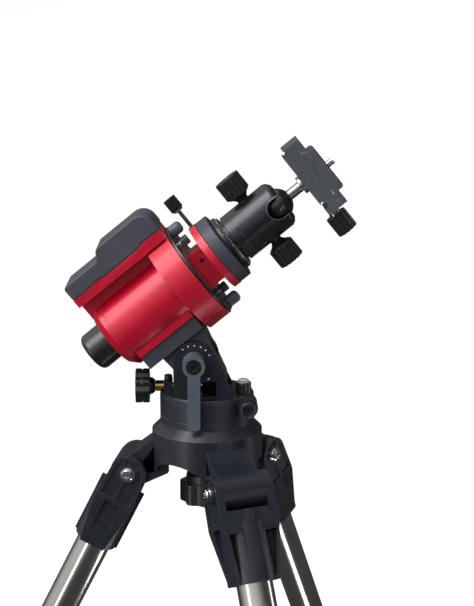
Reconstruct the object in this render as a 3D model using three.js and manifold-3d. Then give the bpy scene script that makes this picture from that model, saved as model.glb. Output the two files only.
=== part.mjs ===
// Star tracker mount: a motorised polar axis on an altitude-azimuth wedge and a steel tripod,
// with a ball head and a quick-release clamp on its turning ring. Millimetres, +Z up.
import * as THREE from "three";
import { mergeVertices } from "three/addons/utils/BufferGeometryUtils.js";
import Module from "manifold-3d";

const wasm = await Module();
wasm.setup();

// Driving dimensions -------------------------------------------------------------------------
const GAP = 0.3; // between pieces that touch
const LATITUDE = 39; // degrees of the polar axis above level
const COARSE = 10; // sides of small round pieces
const MEDIUM = 16;
const FINE = 32;

// Wedge, with z = 0 at the top of its round base and the turning axis at x = y = 0
const BASE = { r: 42.3, height: 27.4 };
const PIVOT = { x: -11.7, z: 32.2, bolt: 5 };
const EAR = { r: 18, inner: 21, outer: 29, footRight: 23.5 };
const SADDLE = { x0: 26, x1: 39.3, half: 26, z0: -85.5, z1: -26 };
const AXIS_ABOVE_PIVOT = 58.2;
const FRONT_AHEAD_OF_PIVOT = 51.8;
const WORM_Z = 4; // height of the altitude worm above the base
const APRON = { reach: 33, ahead: 12, thick: 4 }; // the bracket's front wall, from the pivot
const LUG = { x: 36, z: -8.9, r: 8.8, front: -33.5, back: -12 }; // holds the azimuth knob and the level
const AZIMUTH_KNOB = { r: 7.4, front: -41.5, back: -33.8, screw: 3, hole: 3.3 };
const LEVEL = { x: 32.5, y: -12, r: 7, rim: 9.5, top: 13.2 };
const WORM_SEAT = { left: -38.5, right: -31, half: 9, top: 9.5 };
const WORM_POST = { left: -27, right: -23 };
const WINDOW = { left: -7, right: 8, low: 0.5, high: 14.5 };
const SWING = { r: 38, left: -4, right: 32 }; // room for the bracket as it tilts
const ALTITUDE_KNOB = { r: 15.6, left: -64, right: -51.5, collar: -46.6 };
const ALTITUDE_WORM = { r: 5, left: -21.8, right: -4.5, shaft: 3, stud: 4.9, spine: 2.5 };
const LEVER = { boss: 9.8, width: 11, length: 57, inner: 42.7, outer: 47 };

// Tracker, in its own frame: +Z forward along the polar axis from the flange's face, +X to the saddle
const FLANGE = { r: 47.8, depth: 22.4, wall: 3.8 };
const BODY = { r: 33.5, length: 98, bore: 20.3, chamfer: 6.3 };
const RAIL = { top: -44.6, bottom: -36.4, half: 27 };
const LIP = { x0: 20, x1: 25.7, half: 28 };
const BOX = { half: 27, top: -73, low: -64, step: -58, wall: 2.5, chamfer: 8 };
const SHAFT = { r: 13, bore: 10.6, rear: -93 };
const ROTOR = { r: 31.5, back: -2, front: 2.6 };
const WHEEL = { r: 24, z0: -15, z1: -9, worm: 3.5, shaft: 1.2 };
const WORM_OUT = WHEEL.r + WHEEL.worm + 0.6; // the worm's distance from the polar axis
const MOTOR = { r: 6, y0: 12, y1: 25.5 };
const BEARING = { front: -34, rear: -90, width: 7 };
const SCOPE = { inner: 8.4, outer: 10.2, seat: 12, eyepiece: 15.8, shoulder: -98.6, rear: -110 };
const BATTERY = { x0: -61, x1: -49, half: 16, z0: -92, z1: -30 };
const FLANGE_KNOB = { at: 40, r: 5.5, z0: 2.9, z1: 14.5, stem: 2.2 };
const ROTOR_SCREW = { at: 27, r: 4.4, z0: 2.9, z1: 11.4, stem: 1.8 };
const NECK = { x0: -16, x1: 18, half: 19 };
const BLOCK_SCREW = { stem: 1.75, foot: 15.4, collar: 51.4, grip: 52.6, end: 64.6, r: 6 };
const CAP = { r: 18, length: 23.7, wall: 1.6 };
const RING = { r: 33, z0: 17, z1: 23.7, bore: 14 };
const DISC = { r: 32.5, z1: 35, hub: 24 };

// Ball head and clamp, on the same axis
const PAN = { r: 26.5, z0: 36.5, z1: 41.5, hub: 20 };
const CASE = { r: 22.5, z0: 43.5, z1: 97 };
const BALL = { r: 15, z: 90, stem: 4.8, notch: 9.5 };
const KNOB = { r: 12, z: 70.5, x0: 29.5, x1: 46.5 };
const CLAMP = { z0: 120.5, z1: 135.5, x0: -35.6, x1: 27, half: 19 };
const JAW = { thick: 6, top: 141 };
const PLATE = { z0: 136, z1: 147, foot: 24.3, top: 21, half: 19 };

// Tripod
const HUB = { r: 49.7, chamfer: 7.4, deep: 46, web: 10, skirt: 6, arch: 24, stem: 5.6 };
const ARM = { half: 20, out: 69, drop: 46.5, r: 17, pocket: 14, slope: 16.5, bolt: 4.3 };
const LEG = {
  splay: 26.8,
  casting: 80,
  ear: 26.5,
  earTop: 16.5,
  waist: 34,
  clamp: 530,
  foot: 705,
  overlap: 190,
};
const TUBE = { upper: 15.875, upperBore: 14.4, lower: 12.7, lowerBore: 11.4, top: 21 };
const HUB_KNOB = { r: 25, low: -76, high: -57, collar: 19, seat: -49, shaft: 5, reach: 9 };
const LEG_CLAMP = { r: 20.5, below: 34, step: 12, above: 18, screw: 22, screwR: 3 };
const FOOT = { r: 15, height: 22 };
const LEG_ANGLES = [172, -68, 52]; // the head is turned 8 degrees on its tripod

// Materials ----------------------------------------------------------------------------------
function finish(color, roughness, metalness) {
  return new THREE.MeshStandardMaterial({ color, roughness, metalness });
}
const RED = [0xb5122e, 0.35, 0.7];
const CHARCOAL = [0x4a5055, 0.6, 0];
const CASTING = [0x30353b, 0.65, 0.3];
const BLACK = [0x17181a, 0.45, 0.2];
const GREY = [0x6d7278, 0.45, 0.6];
const STEEL = [0xb9b4aa, 0.25, 1];
const BRASS = [0xb8923f, 0.3, 1];
const RUBBER = [0x1b1b1b, 0.9, 0];
const GREEN = [0x2c6b3f, 0.6, 0];

// Shape helpers ------------------------------------------------------------------------------
// A geometry becomes a solid whose faces point out, with repeated vertices merged.
function solid(shape) {
  if (!shape.isBufferGeometry) return shape;
  const plain = shape.clone();
  plain.deleteAttribute("normal");
  plain.deleteAttribute("uv");
  const merged = mergeVertices(plain, 1e-4);
  const corners = merged.index.array;
  const kept = [];
  for (let i = 0; i < corners.length; i += 3) {
    const [a, b, c] = corners.slice(i, i + 3);
    if (a !== b && b !== c && c !== a) kept.push(a, b, c);
  }
  const vertProperties = new Float32Array(merged.attributes.position.array);
  const build = (triVerts) =>
    new wasm.Manifold(new wasm.Mesh({ numProp: 3, vertProperties, triVerts }));
  const made = build(new Uint32Array(kept));
  return made.volume() > 0 ? made : build(new Uint32Array(kept.reverse()));
}

function join(first, ...rest) {
  return rest.reduce((sum, item) => sum.add(solid(item)), solid(first));
}

function cut(first, ...tools) {
  return tools.reduce((left, tool) => left.subtract(solid(tool)), solid(first));
}

function common(first, second) {
  return solid(first).intersect(solid(second));
}

function geometryOf(shape) {
  const mesh = solid(shape).getMesh();
  const positions = new Float32Array(mesh.numVert * 3);
  for (let i = 0; i < mesh.numVert; i++) {
    positions.set(mesh.vertProperties.subarray(i * mesh.numProp, i * mesh.numProp + 3), i * 3);
  }
  const geometry = new THREE.BufferGeometry();
  geometry.setAttribute("position", new THREE.BufferAttribute(positions, 3));
  geometry.setIndex(new THREE.BufferAttribute(new Uint32Array(mesh.triVerts), 1));
  geometry.computeVertexNormals();
  return geometry;
}

function part(name, shape, look) {
  const mesh = new THREE.Mesh(geometryOf(shape), finish(...look));
  mesh.name = name;
  return mesh;
}

function box(x0, x1, y0, y1, z0, z1) {
  const made = new THREE.BoxGeometry(x1 - x0, y1 - y0, z1 - z0);
  return made.translate((x0 + x1) / 2, (y0 + y1) / 2, (z0 + z1) / 2);
}

// A solid of revolution about Z, from [radius, z] points.
function turned(points, sides) {
  const profile = points.map(([r, z]) => new THREE.Vector2(r, z));
  return new THREE.LatheGeometry(profile, sides).rotateX(Math.PI / 2);
}

function rod(r, z0, z1, sides = MEDIUM) {
  return turned([[0, z0], [r, z0], [r, z1], [0, z1]], sides);
}

function tube(outer, inner, z0, z1, sides = MEDIUM) {
  return turned([[inner, z0], [outer, z0], [outer, z1], [inner, z1], [inner, z0]], sides);
}

// A shape built about Z is laid along X or Y.
const alongX = (geometry) => geometry.rotateY(Math.PI / 2);
const alongY = (geometry) => geometry.rotateX(-Math.PI / 2);

// An outline in the XZ plane, swept along Y.
function sheet(outline, y0, y1) {
  const options = { depth: y1 - y0, bevelEnabled: false, curveSegments: 8 };
  const made = new THREE.ExtrudeGeometry(outline, options);
  return made.rotateX(Math.PI / 2).translate(0, y1, 0);
}

function outline(points) {
  return new THREE.Shape(points.map(([x, z]) => new THREE.Vector2(x, z)));
}

// A knob about Z with lobes round its rim.
function lobed(r, z0, z1, lobes, depth) {
  const rim = new THREE.Shape();
  const steps = lobes * 2;
  for (let i = 0; i < steps; i++) {
    const angle = (i / steps) * 2 * Math.PI;
    const radius = r - depth * (0.5 - 0.5 * Math.cos(lobes * angle));
    rim[i ? "lineTo" : "moveTo"](radius * Math.cos(angle), radius * Math.sin(angle));
  }
  rim.closePath();
  const made = new THREE.ExtrudeGeometry(rim, { depth: z1 - z0, bevelEnabled: false });
  return made.translate(0, 0, z0);
}

// Tripod -------------------------------------------------------------------------------------
function hubArm() {
  const { out, drop, r } = ARM;
  const side = new THREE.Shape();
  side.moveTo(HUB.r - ARM.r, -HUB.web);
  side.lineTo(HUB.r - 1, -ARM.slope);
  side.lineTo(out - 2, r - drop);
  side.absarc(out, -drop, r, Math.PI / 2, -Math.PI / 2, true);
  side.lineTo(HUB.r - ARM.r, -HUB.deep);
  side.closePath();
  const pocket = box(30, out - r, -ARM.pocket, ARM.pocket, -70, -2 * HUB.web);
  const boltHole = alongY(rod(ARM.bolt, -30, 30, COARSE)).translate(out, 0, -drop);
  return cut(sheet(side, -ARM.half, ARM.half), pocket, boltHole);
}

function tripodHub() {
  const { r, chamfer, deep, web, skirt, arch, stem } = HUB;
  const inside = r - skirt;
  const rim = [[stem, 0], [r - chamfer, 0], [r, -chamfer], [r, -deep]];
  const drum = turned([...rim, [inside, -deep], [inside, -web], [stem, -web], [stem, 0]], FINE);
  let hub = solid(drum);
  for (const angle of LEG_ANGLES) {
    const gapAngle = THREE.MathUtils.degToRad(angle + 60);
    const opening = alongX(rod(arch, 10, 80, MEDIUM)).scale(1, 1.15, 0.62).rotateZ(gapAngle);
    hub = hub.subtract(solid(opening.translate(0, 0, -deep)));
  }
  for (const angle of LEG_ANGLES) {
    hub = hub.add(hubArm().rotate([0, 0, angle]));
  }
  return hub.subtract(solid(rod(stem, -deep, 1, COARSE)));
}

function hubKnob() {
  const { r, low, high, seat, reach } = HUB_KNOB;
  const grip = lobed(r, low, high, 8, 3);
  const collar = rod(HUB_KNOB.collar, high - 0.5, seat, MEDIUM);
  const shaft = rod(HUB_KNOB.shaft, seat - 1, reach, COARSE);
  return join(grip, collar, shaft);
}

function legCasting() {
  const { casting, ear, earTop, waist } = LEG;
  const neck = -ARM.r - 2 * GAP;
  const round = [[0, -casting], [19.9, -casting], [19.9, 4 - waist], [17.5, neck], [0, neck]];
  const socket = turned(round, MEDIUM);
  const side = new THREE.Shape();
  side.moveTo(-earTop, 0);
  side.absarc(0, 0, earTop, Math.PI, 0, true);
  side.lineTo(18, -waist);
  side.lineTo(12, -casting);
  side.lineTo(-12, -casting);
  side.lineTo(-18, -waist);
  side.closePath();
  const cheeks = sheet(side, -ear, ear);
  const half = [[ear, 20], [ear, 4 - waist], [20, 6 - casting], [20, -casting - 1]];
  const taper = outline([...half, ...half.map(([y, z]) => [-y, z]).reverse()]);
  const tapered = common(cheeks, solid(sheet(taper, -40, 40)).rotate([0, 0, 90]));
  const armSlot = box(-40, 40, -ARM.half - GAP, ARM.half + GAP, neck, 40);
  const ribs = [-1, 1].map((end) => box(-3, 3, -1.6, 1.6, -casting, -20).translate(end * 20, 0, 0));
  const flutes = [-1, 1].map((end) => box(-8, 8, 20.5, 40, -casting - 2, -22).scale(1, end, 1));
  const bore = rod(TUBE.upper + GAP, -casting - 1, -TUBE.top, MEDIUM);
  const boltHole = alongY(rod(ARM.bolt, -40, 40, COARSE));
  return cut(join(tapered, socket, ...ribs), armSlot, bore, boltHole, ...flutes);
}

function legBolt() {
  const head = alongY(rod(7, LEG.ear + GAP, LEG.ear + 4.3, 6));
  const nut = alongY(rod(7, -LEG.ear - 4.3, -LEG.ear - GAP, 6));
  return join(alongY(rod(4, -LEG.ear - 5, LEG.ear + 4, COARSE)), head, nut);
}

function legClamp() {
  const { clamp } = LEG;
  const { r, below, step, above, screw, screwR } = LEG_CLAMP;
  const narrow = TUBE.lower + GAP;
  const wide = TUBE.upper + GAP;
  const profile = [
    [narrow, -below], [r - 1.5, -below], [r, 2 - screw], [r, above - 4], [r - 2, above],
    [wide, above], [wide, -step], [narrow, -step], [narrow, -below],
  ];
  const collar = turned(profile, MEDIUM);
  const boss = alongX(rod(8, 16, 25, COARSE)).translate(0, 0, -screw);
  const inside = rod(narrow, -below - 6, 0, MEDIUM);
  const screwHole = alongX(rod(screwR + GAP, 10, 30, COARSE)).translate(0, 0, -screw);
  return cut(join(collar, boss), inside, screwHole).translate([0, 0, -clamp]);
}

function legClampKnob() {
  const grip = alongX(lobed(11, 25.3, 38, 6, 1.6));
  const screw = alongX(rod(LEG_CLAMP.screwR, TUBE.lower + 2 * GAP, 26, COARSE));
  return join(grip, screw).translate([0, 0, -LEG.clamp - LEG_CLAMP.screw]);
}

function legFoot() {
  const { r, height } = FOOT;
  const arc = [];
  for (let i = 0; i <= 4; i++) {
    const angle = (i / 4) * (Math.PI / 2);
    arc.push([r * Math.sin(angle), -r * Math.cos(angle)]);
  }
  const shape = turned([...arc, [r, height - 10], [r - 1.5, height], [0, height]], MEDIUM);
  return shape.translate(0, 0, -LEG.foot);
}

function makeLeg(number, angle) {
  const { splay, clamp, foot, overlap } = LEG;
  const upperTube = tube(TUBE.upper, TUBE.upperBore, GAP - LEG_CLAMP.step - clamp, -TUBE.top - GAP);
  const lowerTube = tube(TUBE.lower, TUBE.lowerBore, FOOT.height + GAP - foot, -overlap);
  const leg = new THREE.Group();
  leg.rotation.y = -THREE.MathUtils.degToRad(splay);
  leg.position.set(ARM.out, 0, -ARM.drop);
  leg.add(
    part(`leg_casting_${number}`, legCasting(), CASTING),
    part(`leg_bolt_${number}`, legBolt(), STEEL),
    part(`upper_tube_${number}`, upperTube, STEEL),
    part(`leg_clamp_${number}`, legClamp(), CASTING),
    part(`leg_clamp_knob_${number}`, legClampKnob(), BLACK),
    part(`lower_tube_${number}`, lowerTube, STEEL),
    part(`foot_${number}`, legFoot(), RUBBER),
  );
  const turn = new THREE.Group();
  turn.rotation.z = THREE.MathUtils.degToRad(angle);
  turn.add(leg);
  return turn;
}

// Wedge --------------------------------------------------------------------------------------
function ear(y0, y1) {
  const { r, footRight } = EAR;
  const footLeft = PIVOT.x - r;
  const side = new THREE.Shape();
  // the front edge leaves the round top at its tangent point
  const reach = Math.hypot(footRight - PIVOT.x, PIVOT.z);
  const lean = Math.atan2(-PIVOT.z, footRight - PIVOT.x) + Math.acos(r / reach);
  side.moveTo(footLeft, -2);
  side.absarc(PIVOT.x, PIVOT.z, r, Math.PI, lean, true);
  side.lineTo(footRight, 0);
  side.lineTo(footRight, -2);
  side.closePath();
  return sheet(side, y0, y1);
}

function azimuthBase() {
  const { r, height } = BASE;
  const { inner, outer } = EAR;
  const drum = turned([[0, -height], [r, -height], [r, -1.2], [r - 1.2, 0], [0, 0]], FINE);
  const { half, top } = WORM_SEAT;
  const wormBlock = box(WORM_SEAT.left, WORM_SEAT.right, -half, half, -1, top);
  const wormPost = box(WORM_POST.left, WORM_POST.right, -half, half, -1, top);
  const lug = alongY(rod(LUG.r, LUG.front, LUG.back, MEDIUM)).translate(LUG.x, 0, LUG.z);
  const solidBase = join(drum, ear(-outer, -inner), ear(inner, outer), wormBlock, wormPost, lug);
  const swing = alongY(rod(SWING.r, -inner, inner, FINE)).translate(PIVOT.x, 0, PIVOT.z);
  const pocket = common(swing, box(SWING.left, SWING.right, -inner, inner, -40, 1));
  const groove = box(WORM_POST.right + 0.5, SWING.left, -7, 7, -2.5, 1);
  const window = box(WINDOW.left, WINDOW.right, -outer - 1, -inner + 1, WINDOW.low, WINDOW.high);
  const boltHole = alongY(rod(PIVOT.bolt + GAP, -60, 60, MEDIUM)).translate(PIVOT.x, 0, PIVOT.z);
  const { shaft, stud } = ALTITUDE_WORM;
  const wormHole = alongX(rod(shaft + GAP, -60, -20, COARSE)).translate(0, 0, WORM_Z);
  const relief = alongX(rod(stud + 0.4, -60, WORM_SEAT.left - 0.1, COARSE)).translate(0, 0, WORM_Z);
  const stemHole = rod(5.4, -height - 1, -height + 10, COARSE);
  const knobHole = alongY(rod(AZIMUTH_KNOB.hole, -40, -16, COARSE)).translate(LUG.x, 0, LUG.z);
  return cut(solidBase, pocket, groove, window, boltHole, wormHole, relief, stemHole, knobHole);
}

function azimuthKnob() {
  const { r, front, back, screw } = AZIMUTH_KNOB;
  const grip = alongY(turned([[0, front], [r - 0.8, front], [r, front + 1], [r, back], [0, back]], MEDIUM));
  return join(grip, alongY(rod(screw, back - 0.2, -17, COARSE))).translate([LUG.x, 0, LUG.z]);
}

function bubbleLevel() {
  const { x, y, r, rim, top } = LEVEL;
  const cup = [[0, GAP], [r, GAP], [r, rim], [r - 1, rim + 1], [r - 2.6, top - 1], [0, top]];
  return turned(cup, MEDIUM).translate(x, y, 0);
}

function lockLever() {
  const { boss, width, length, inner, outer } = LEVER;
  const collar = alongY(rod(boss, -outer, -EAR.outer - GAP, MEDIUM));
  const arm = new THREE.Shape();
  arm.moveTo(-width / 2, 0);
  arm.lineTo(-width / 2, -length + 3);
  arm.quadraticCurveTo(-width / 2, -length, 3 - width / 2, -length);
  arm.lineTo(width / 2 - 3, -length);
  arm.quadraticCurveTo(width / 2, -length, width / 2, -length + 3);
  arm.lineTo(width / 2, 0);
  arm.closePath();
  const hole = alongY(rod(PIVOT.bolt + GAP, -outer - 1, 0, MEDIUM));
  const recess = alongY(rod(6.8, -outer - 1, -outer + 4, MEDIUM));
  const made = cut(join(collar, sheet(arm, -outer, -inner)), hole, recess);
  return made.translate([PIVOT.x, 0, PIVOT.z]);
}

function altitudeBolt() {
  const head = alongY(rod(6.4, -LEVER.outer - 0.5, -LEVER.outer + 4 - GAP, MEDIUM));
  const socket = alongY(rod(3, -LEVER.outer - 1, -LEVER.outer + 2.5, 6));
  const nut = alongY(rod(9, EAR.outer + GAP, EAR.outer + 6, 6));
  const made = cut(join(alongY(rod(PIVOT.bolt, -LEVER.outer + 3, EAR.outer + 8, MEDIUM)), head, nut), socket);
  return made.translate([PIVOT.x, 0, PIVOT.z]);
}

function altitudeKnob() {
  const { r, left, right, collar } = ALTITUDE_KNOB;
  const grip = lobed(r, left, right, 9, 2.2);
  const cone = turned([[0, right - 0.5], [7.4, right - 0.5], [5.6, collar], [0, collar]], MEDIUM);
  const bore = rod(ALTITUDE_WORM.spine + GAP, right - 4.5, -40, COARSE);
  return alongWorm(cut(join(grip, cone), bore));
}

// A finished solid built about Z is laid along X at the worm's height.
function alongWorm(made) {
  return made.rotate([0, 90, 0]).translate([0, 0, WORM_Z]);
}

function altitudeWorm() {
  const { r, left, right, shaft, stud, spine } = ALTITUDE_WORM;
  const seat = WORM_SEAT.left - GAP;
  const brass = rod(stud, ALTITUDE_KNOB.collar + GAP, seat, COARSE);
  const pin = rod(spine, ALTITUDE_KNOB.right - 3.5, -43, COARSE);
  const thread = rod(r, left, right, MEDIUM);
  return alongWorm(join(brass, pin, rod(shaft, seat - 0.2, right, COARSE), thread));
}

// The tilting bracket, in the tracker's frame: the saddle on top and two cheeks down to the pivot.
function tiltBracket() {
  const px = AXIS_ABOVE_PIVOT;
  const pz = -FRONT_AHEAD_OF_PIVOT;
  const width = EAR.inner - GAP;
  const saddle = box(SADDLE.x0, SADDLE.x1, -SADDLE.half, SADDLE.half, SADDLE.z0, SADDLE.z1);
  const side = new THREE.Shape();
  side.moveTo(SADDLE.x1 - 1, -72);
  side.lineTo(54, -71);
  side.lineTo(px + 8, pz - 14);
  side.absarc(px, pz, 16, -0.9, 0.5, false);
  side.lineTo(px + 10, -34);
  side.lineTo(SADDLE.x1 - 1, SADDLE.z1 + 0.2);
  side.closePath();
  const cheeks = cut(sheet(side, -width, width), box(SADDLE.x1 + 6, 110, -width + 7, width - 7, -90, -20));
  const apron = sheet(
    outline([
      [SADDLE.x1 - 1, SADDLE.z1],
      [px + APRON.reach, pz + APRON.ahead],
      [px + APRON.reach - 1, pz + APRON.ahead - APRON.thick],
      [SADDLE.x1 - 1, SADDLE.z1 - 6],
    ]),
    -width,
    width,
  );
  const hub = alongY(rod(12, -width, width, MEDIUM)).translate(px, 0, pz);
  const wheel = alongY(rod(PIVOT.z - WORM_Z - 5.5, -4, 4, FINE)).translate(px, 0, pz);
  const upper = box(px - 40, px - 6, -10, 10, pz - 20, pz + 20);
  const sector = cut(wheel, upper);
  const neck = box(SADDLE.x1 - 2, px, -4, 4, pz - 11, pz + 11);
  const bolt = alongY(rod(PIVOT.bolt + GAP, -60, 60, MEDIUM)).translate(px, 0, pz);
  return cut(join(saddle, cheeks, apron, hub, sector, neck), bolt);
}

// Tracker ------------------------------------------------------------------------------------
function trackerHousing() {
  const { r, length, bore, chamfer } = BODY;
  const { depth, wall } = FLANGE;
  const rear = -length;
  const barrel = turned([[0, rear], [r - chamfer, rear], [r, rear + chamfer], [r, -10], [0, -10]], FINE);
  const flange = turned([[0, -depth], [FLANGE.r, -depth], [FLANGE.r, -1], [FLANGE.r - 1, 0], [0, 0]], FINE);
  const rail = box(RAIL.top, RAIL.bottom, -RAIL.half, RAIL.half, -length, -depth + 2);
  const web = box(RAIL.bottom - 1, -bore, -NECK.half, NECK.half, -length, -depth + 2);
  const lip = box(LIP.x0, LIP.x1, -LIP.half, LIP.half, SADDLE.z0, SADDLE.z1);
  const under = box(LIP.x1, 60, -60, 60, SADDLE.z0 - GAP, -depth - 0.6);
  const cavity = rod(FLANGE.r - wall, -depth + 2.4, 1, FINE);
  const through = rod(bore, -length - 1, 1, FINE);
  const lead = box(RAIL.top - 5, -15, -5, 5, -40, -30);
  const groove = tube(r + 1, r - 0.5, -86.6, -85.8, FINE);
  const shell = cut(join(barrel, web), groove);
  return cut(join(shell, flange, rail, lip), under, cavity, through, lead);
}

function electronicsCover() {
  const { half, top, low, step, wall, chamfer } = BOX;
  const seat = RAIL.top - GAP;
  const rear = -BODY.length;
  const shell = (inset, foot) =>
    sheet(
      outline([
        [foot, rear + inset],
        [low + inset + 4, rear + inset],
        [low + inset, rear + inset + 4],
        [low + inset, step - 3 + inset],
        [top + inset, step + 4 + inset],
        [top + inset, -chamfer - inset],
        [top + inset + chamfer, -inset],
        [foot, -inset],
      ]),
      -half + inset,
      half - inset,
    );
  const clearFlange = rod(FLANGE.r + GAP, -FLANGE.depth - GAP, 5, FINE);
  return cut(shell(0, seat), shell(wall, seat + 1), clearFlange);
}

function batteryPack() {
  const { x0, x1, half, z0, z1 } = BATTERY;
  return box(x0, x1, -half, half, z0, z1);
}

function bearing(rear) {
  return tube(BODY.bore - GAP, SHAFT.r + GAP, rear, rear + BEARING.width);
}

function frontPlate() {
  const ring = tube(46, ROTOR.r + 0.5, GAP, ROTOR.front, FINE);
  const { at, stem } = FLANGE_KNOB;
  const holes = [-at, at].map((x) => rod(stem + 0.4, -5, 5, COARSE).translate(x, 0, 0));
  return cut(ring, ...holes);
}

function flangeKnob(x) {
  const { r, z0, z1, stem } = FLANGE_KNOB;
  const cap = turned([[0, z0], [r, z0], [r, z1 - 3.5], [r - 0.9, z1 - 1.1], [r - 2.9, z1], [0, z1]], COARSE);
  return join(cap, rod(stem, -4, 4, COARSE)).translate([x, 0, 0]);
}

function rotorScrew(x) {
  const { r, z0, z1, stem } = ROTOR_SCREW;
  const head = turned([[0, z0], [r, z0], [r, z1 - 1], [r - 0.8, z1], [0, z1]], COARSE);
  return join(head, rod(stem, -0.6, 4, COARSE)).translate([x, 0, 0]);
}

function raShaft() {
  const { r, bore, rear } = SHAFT;
  const { back, front } = ROTOR;
  const profile = [
    [bore, rear], [r, rear], [r, back], [ROTOR.r, back], [ROTOR.r, front], [bore, front], [bore, rear],
  ];
  const shaft = turned(profile, FINE);
  const { at, stem } = ROTOR_SCREW;
  const holes = [-at, at].map((x) => rod(stem + GAP, -5, 5, COARSE).translate(x, 0, 0));
  return cut(shaft, ...holes);
}

function scopeTube() {
  const { inner, outer, seat, eyepiece, shoulder, rear } = SCOPE;
  const profile = [
    [inner, 0], [outer, 0], [outer, shoulder + 2.6], [seat, shoulder + 2.6], [seat, shoulder],
    [eyepiece, shoulder], [eyepiece, rear], [inner, rear], [inner, 0],
  ];
  return turned(profile, MEDIUM);
}

function scopeCap() {
  const { r, length, wall } = CAP;
  const front = -BODY.length - GAP;
  const rear = front - length;
  return turned(
    [[0, rear], [r - 3.2, rear], [r - 0.9, rear + 0.9], [r, rear + 3.2], [r, front], [r - wall, front],
      [r - wall, rear + 3.5], [0, rear + 3.5]],
    MEDIUM,
  );
}

function mountBlock() {
  const { r, z0, z1, bore } = RING;
  const neck = box(NECK.x0, NECK.x1, -NECK.half, NECK.half, ROTOR.front + GAP, z0 + 0.5);
  const ring = turned([[0, z0], [r - 0.8, z0], [r, z0 + 0.8], [r, z1], [0, z1]], FINE);
  const socket = rod(bore, z0 + 1.2, z1 + 1, MEDIUM);
  const sight = rod(SCOPE.inner, 0, 30, MEDIUM);
  const screwHole = alongX(rod(BLOCK_SCREW.stem + 0.35, -40, -10, COARSE)).translate(0, 0, (z0 + z1) / 2);
  const sideHole = alongY(rod(2.2, -25, -10, COARSE)).translate(-6, 0, 10.5);
  return cut(join(neck, ring), socket, sight, screwHole, sideHole);
}

function blockScrew() {
  const { foot, collar, grip, end, r } = BLOCK_SCREW;
  const stem = rod(BLOCK_SCREW.stem, foot, grip + 0.4, COARSE);
  const washer = rod(4.6, collar, grip + 0.4, COARSE);
  const head = lobed(r, grip, end, 12, 0.5);
  return join(stem, washer, head).rotate([0, -90, 0]).translate([0, 0, (RING.z0 + RING.z1) / 2]);
}

function adapterDisc() {
  const { r, z1, hub } = DISC;
  const spigot = RING.bore - GAP;
  const seat = RING.z1 + GAP;
  const top = PAN.z0 - GAP;
  const profile = [
    [0, RING.z0 + 2.5], [spigot, RING.z0 + 2.5], [spigot, seat], [r, seat], [r, z1 - 0.8],
    [r - 0.8, z1], [hub, z1], [hub, top], [0, top],
  ];
  return turned(profile, FINE);
}

function motor() {
  const body = alongY(rod(MOTOR.r, MOTOR.y0, MOTOR.y1, MEDIUM));
  return body.translate(-WORM_OUT, 0, (WHEEL.z0 + WHEEL.z1) / 2);
}

function worm() {
  const thread = alongY(rod(WHEEL.worm, -8, 8, COARSE));
  const shaft = alongY(rod(WHEEL.shaft, -10, MOTOR.y0 - 0.4, COARSE));
  return join(thread, shaft).translate([-WORM_OUT, 0, (WHEEL.z0 + WHEEL.z1) / 2]);
}

// Ball head ----------------------------------------------------------------------------------
function panBase() {
  const { r, z0, z1, hub } = PAN;
  const top = CASE.z0 - GAP;
  return turned([[0, z0], [r, z0], [r, z0 + 2.6], [r - 2.2, z1], [hub, z1], [hub, top], [0, top]], FINE);
}

function ballCase() {
  const { r, z0, z1 } = CASE;
  const outer = turned([[0, z0], [r, z0], [r, z1 - 6], [r - 3.4, z1 - 1.4], [r - 5.2, z1], [0, z1]], FINE);
  const sphere = new THREE.SphereGeometry(BALL.r + 1.2, MEDIUM, COARSE);
  const socket = sphere.rotateX(Math.PI / 2).translate(0, 0, BALL.z);
  const shaftBore = rod(13.2, z1 - 36, BALL.z, MEDIUM);
  const mouth = turned([[0, BALL.z + 5], [13.2, BALL.z + 5], [14.6, z1 + 1], [0, z1 + 1]], MEDIUM);
  const notch = join(
    alongY(rod(BALL.notch, -40, 0, MEDIUM)).translate(0, 0, BALL.z),
    box(-BALL.notch, BALL.notch, -40, 0, BALL.z, z1 + 5),
  );
  const screwHoles = alongX(rod(3.3, -40, 40, COARSE)).translate(0, 0, KNOB.z);
  return cut(outer, socket, shaftBore, mouth, notch, screwHoles);
}

function ballKnob(side) {
  const { r, x0, x1 } = KNOB;
  const foot = CASE.r + 0.4;
  const grip = lobed(r, x0, x1, 12, 1.1);
  const skirt = turned([[0, foot], [5, foot], [5.4, foot + 1.5], [r - 1.4, x0 + 0.2], [0, x0 + 0.2]], MEDIUM);
  const shaft = rod(3, 16, 24, COARSE);
  return join(grip, skirt, shaft).rotate([0, side * 90, 0]).translate([0, 0, KNOB.z]);
}

function ballStem() {
  const { r, z, stem } = BALL;
  const points = [];
  const last = Math.acos(stem / r);
  for (let i = 0; i <= 9; i++) {
    const angle = -Math.PI / 2 + (i / 9) * (Math.PI / 2 + last);
    points.push([Math.max(0, r * Math.cos(angle)), z + r * Math.sin(angle)]);
  }
  points[0][0] = 0;
  const seat = CLAMP.z0 - GAP;
  const flare = [[stem, seat - 3], [8.5, seat - 3], [8.5, seat], [3, seat], [3, seat + 6], [0, seat + 6]];
  return turned([...points, ...flare], MEDIUM);
}

// Clamp --------------------------------------------------------------------------------------
// The dovetail groove that the plate's foot slides in.
function dovetail(grow, z0, z1) {
  const foot = PLATE.foot + grow;
  const top = PLATE.top + grow;
  const half = PLATE.half + grow * 20;
  const right = [[foot, z0], [foot, z0 + 1.2], [top, z0 + 4.6], [top, z1]];
  const left = right.map(([x, z]) => [-x, z]).reverse();
  return sheet(outline([...right, ...left]), -half, half);
}

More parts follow.
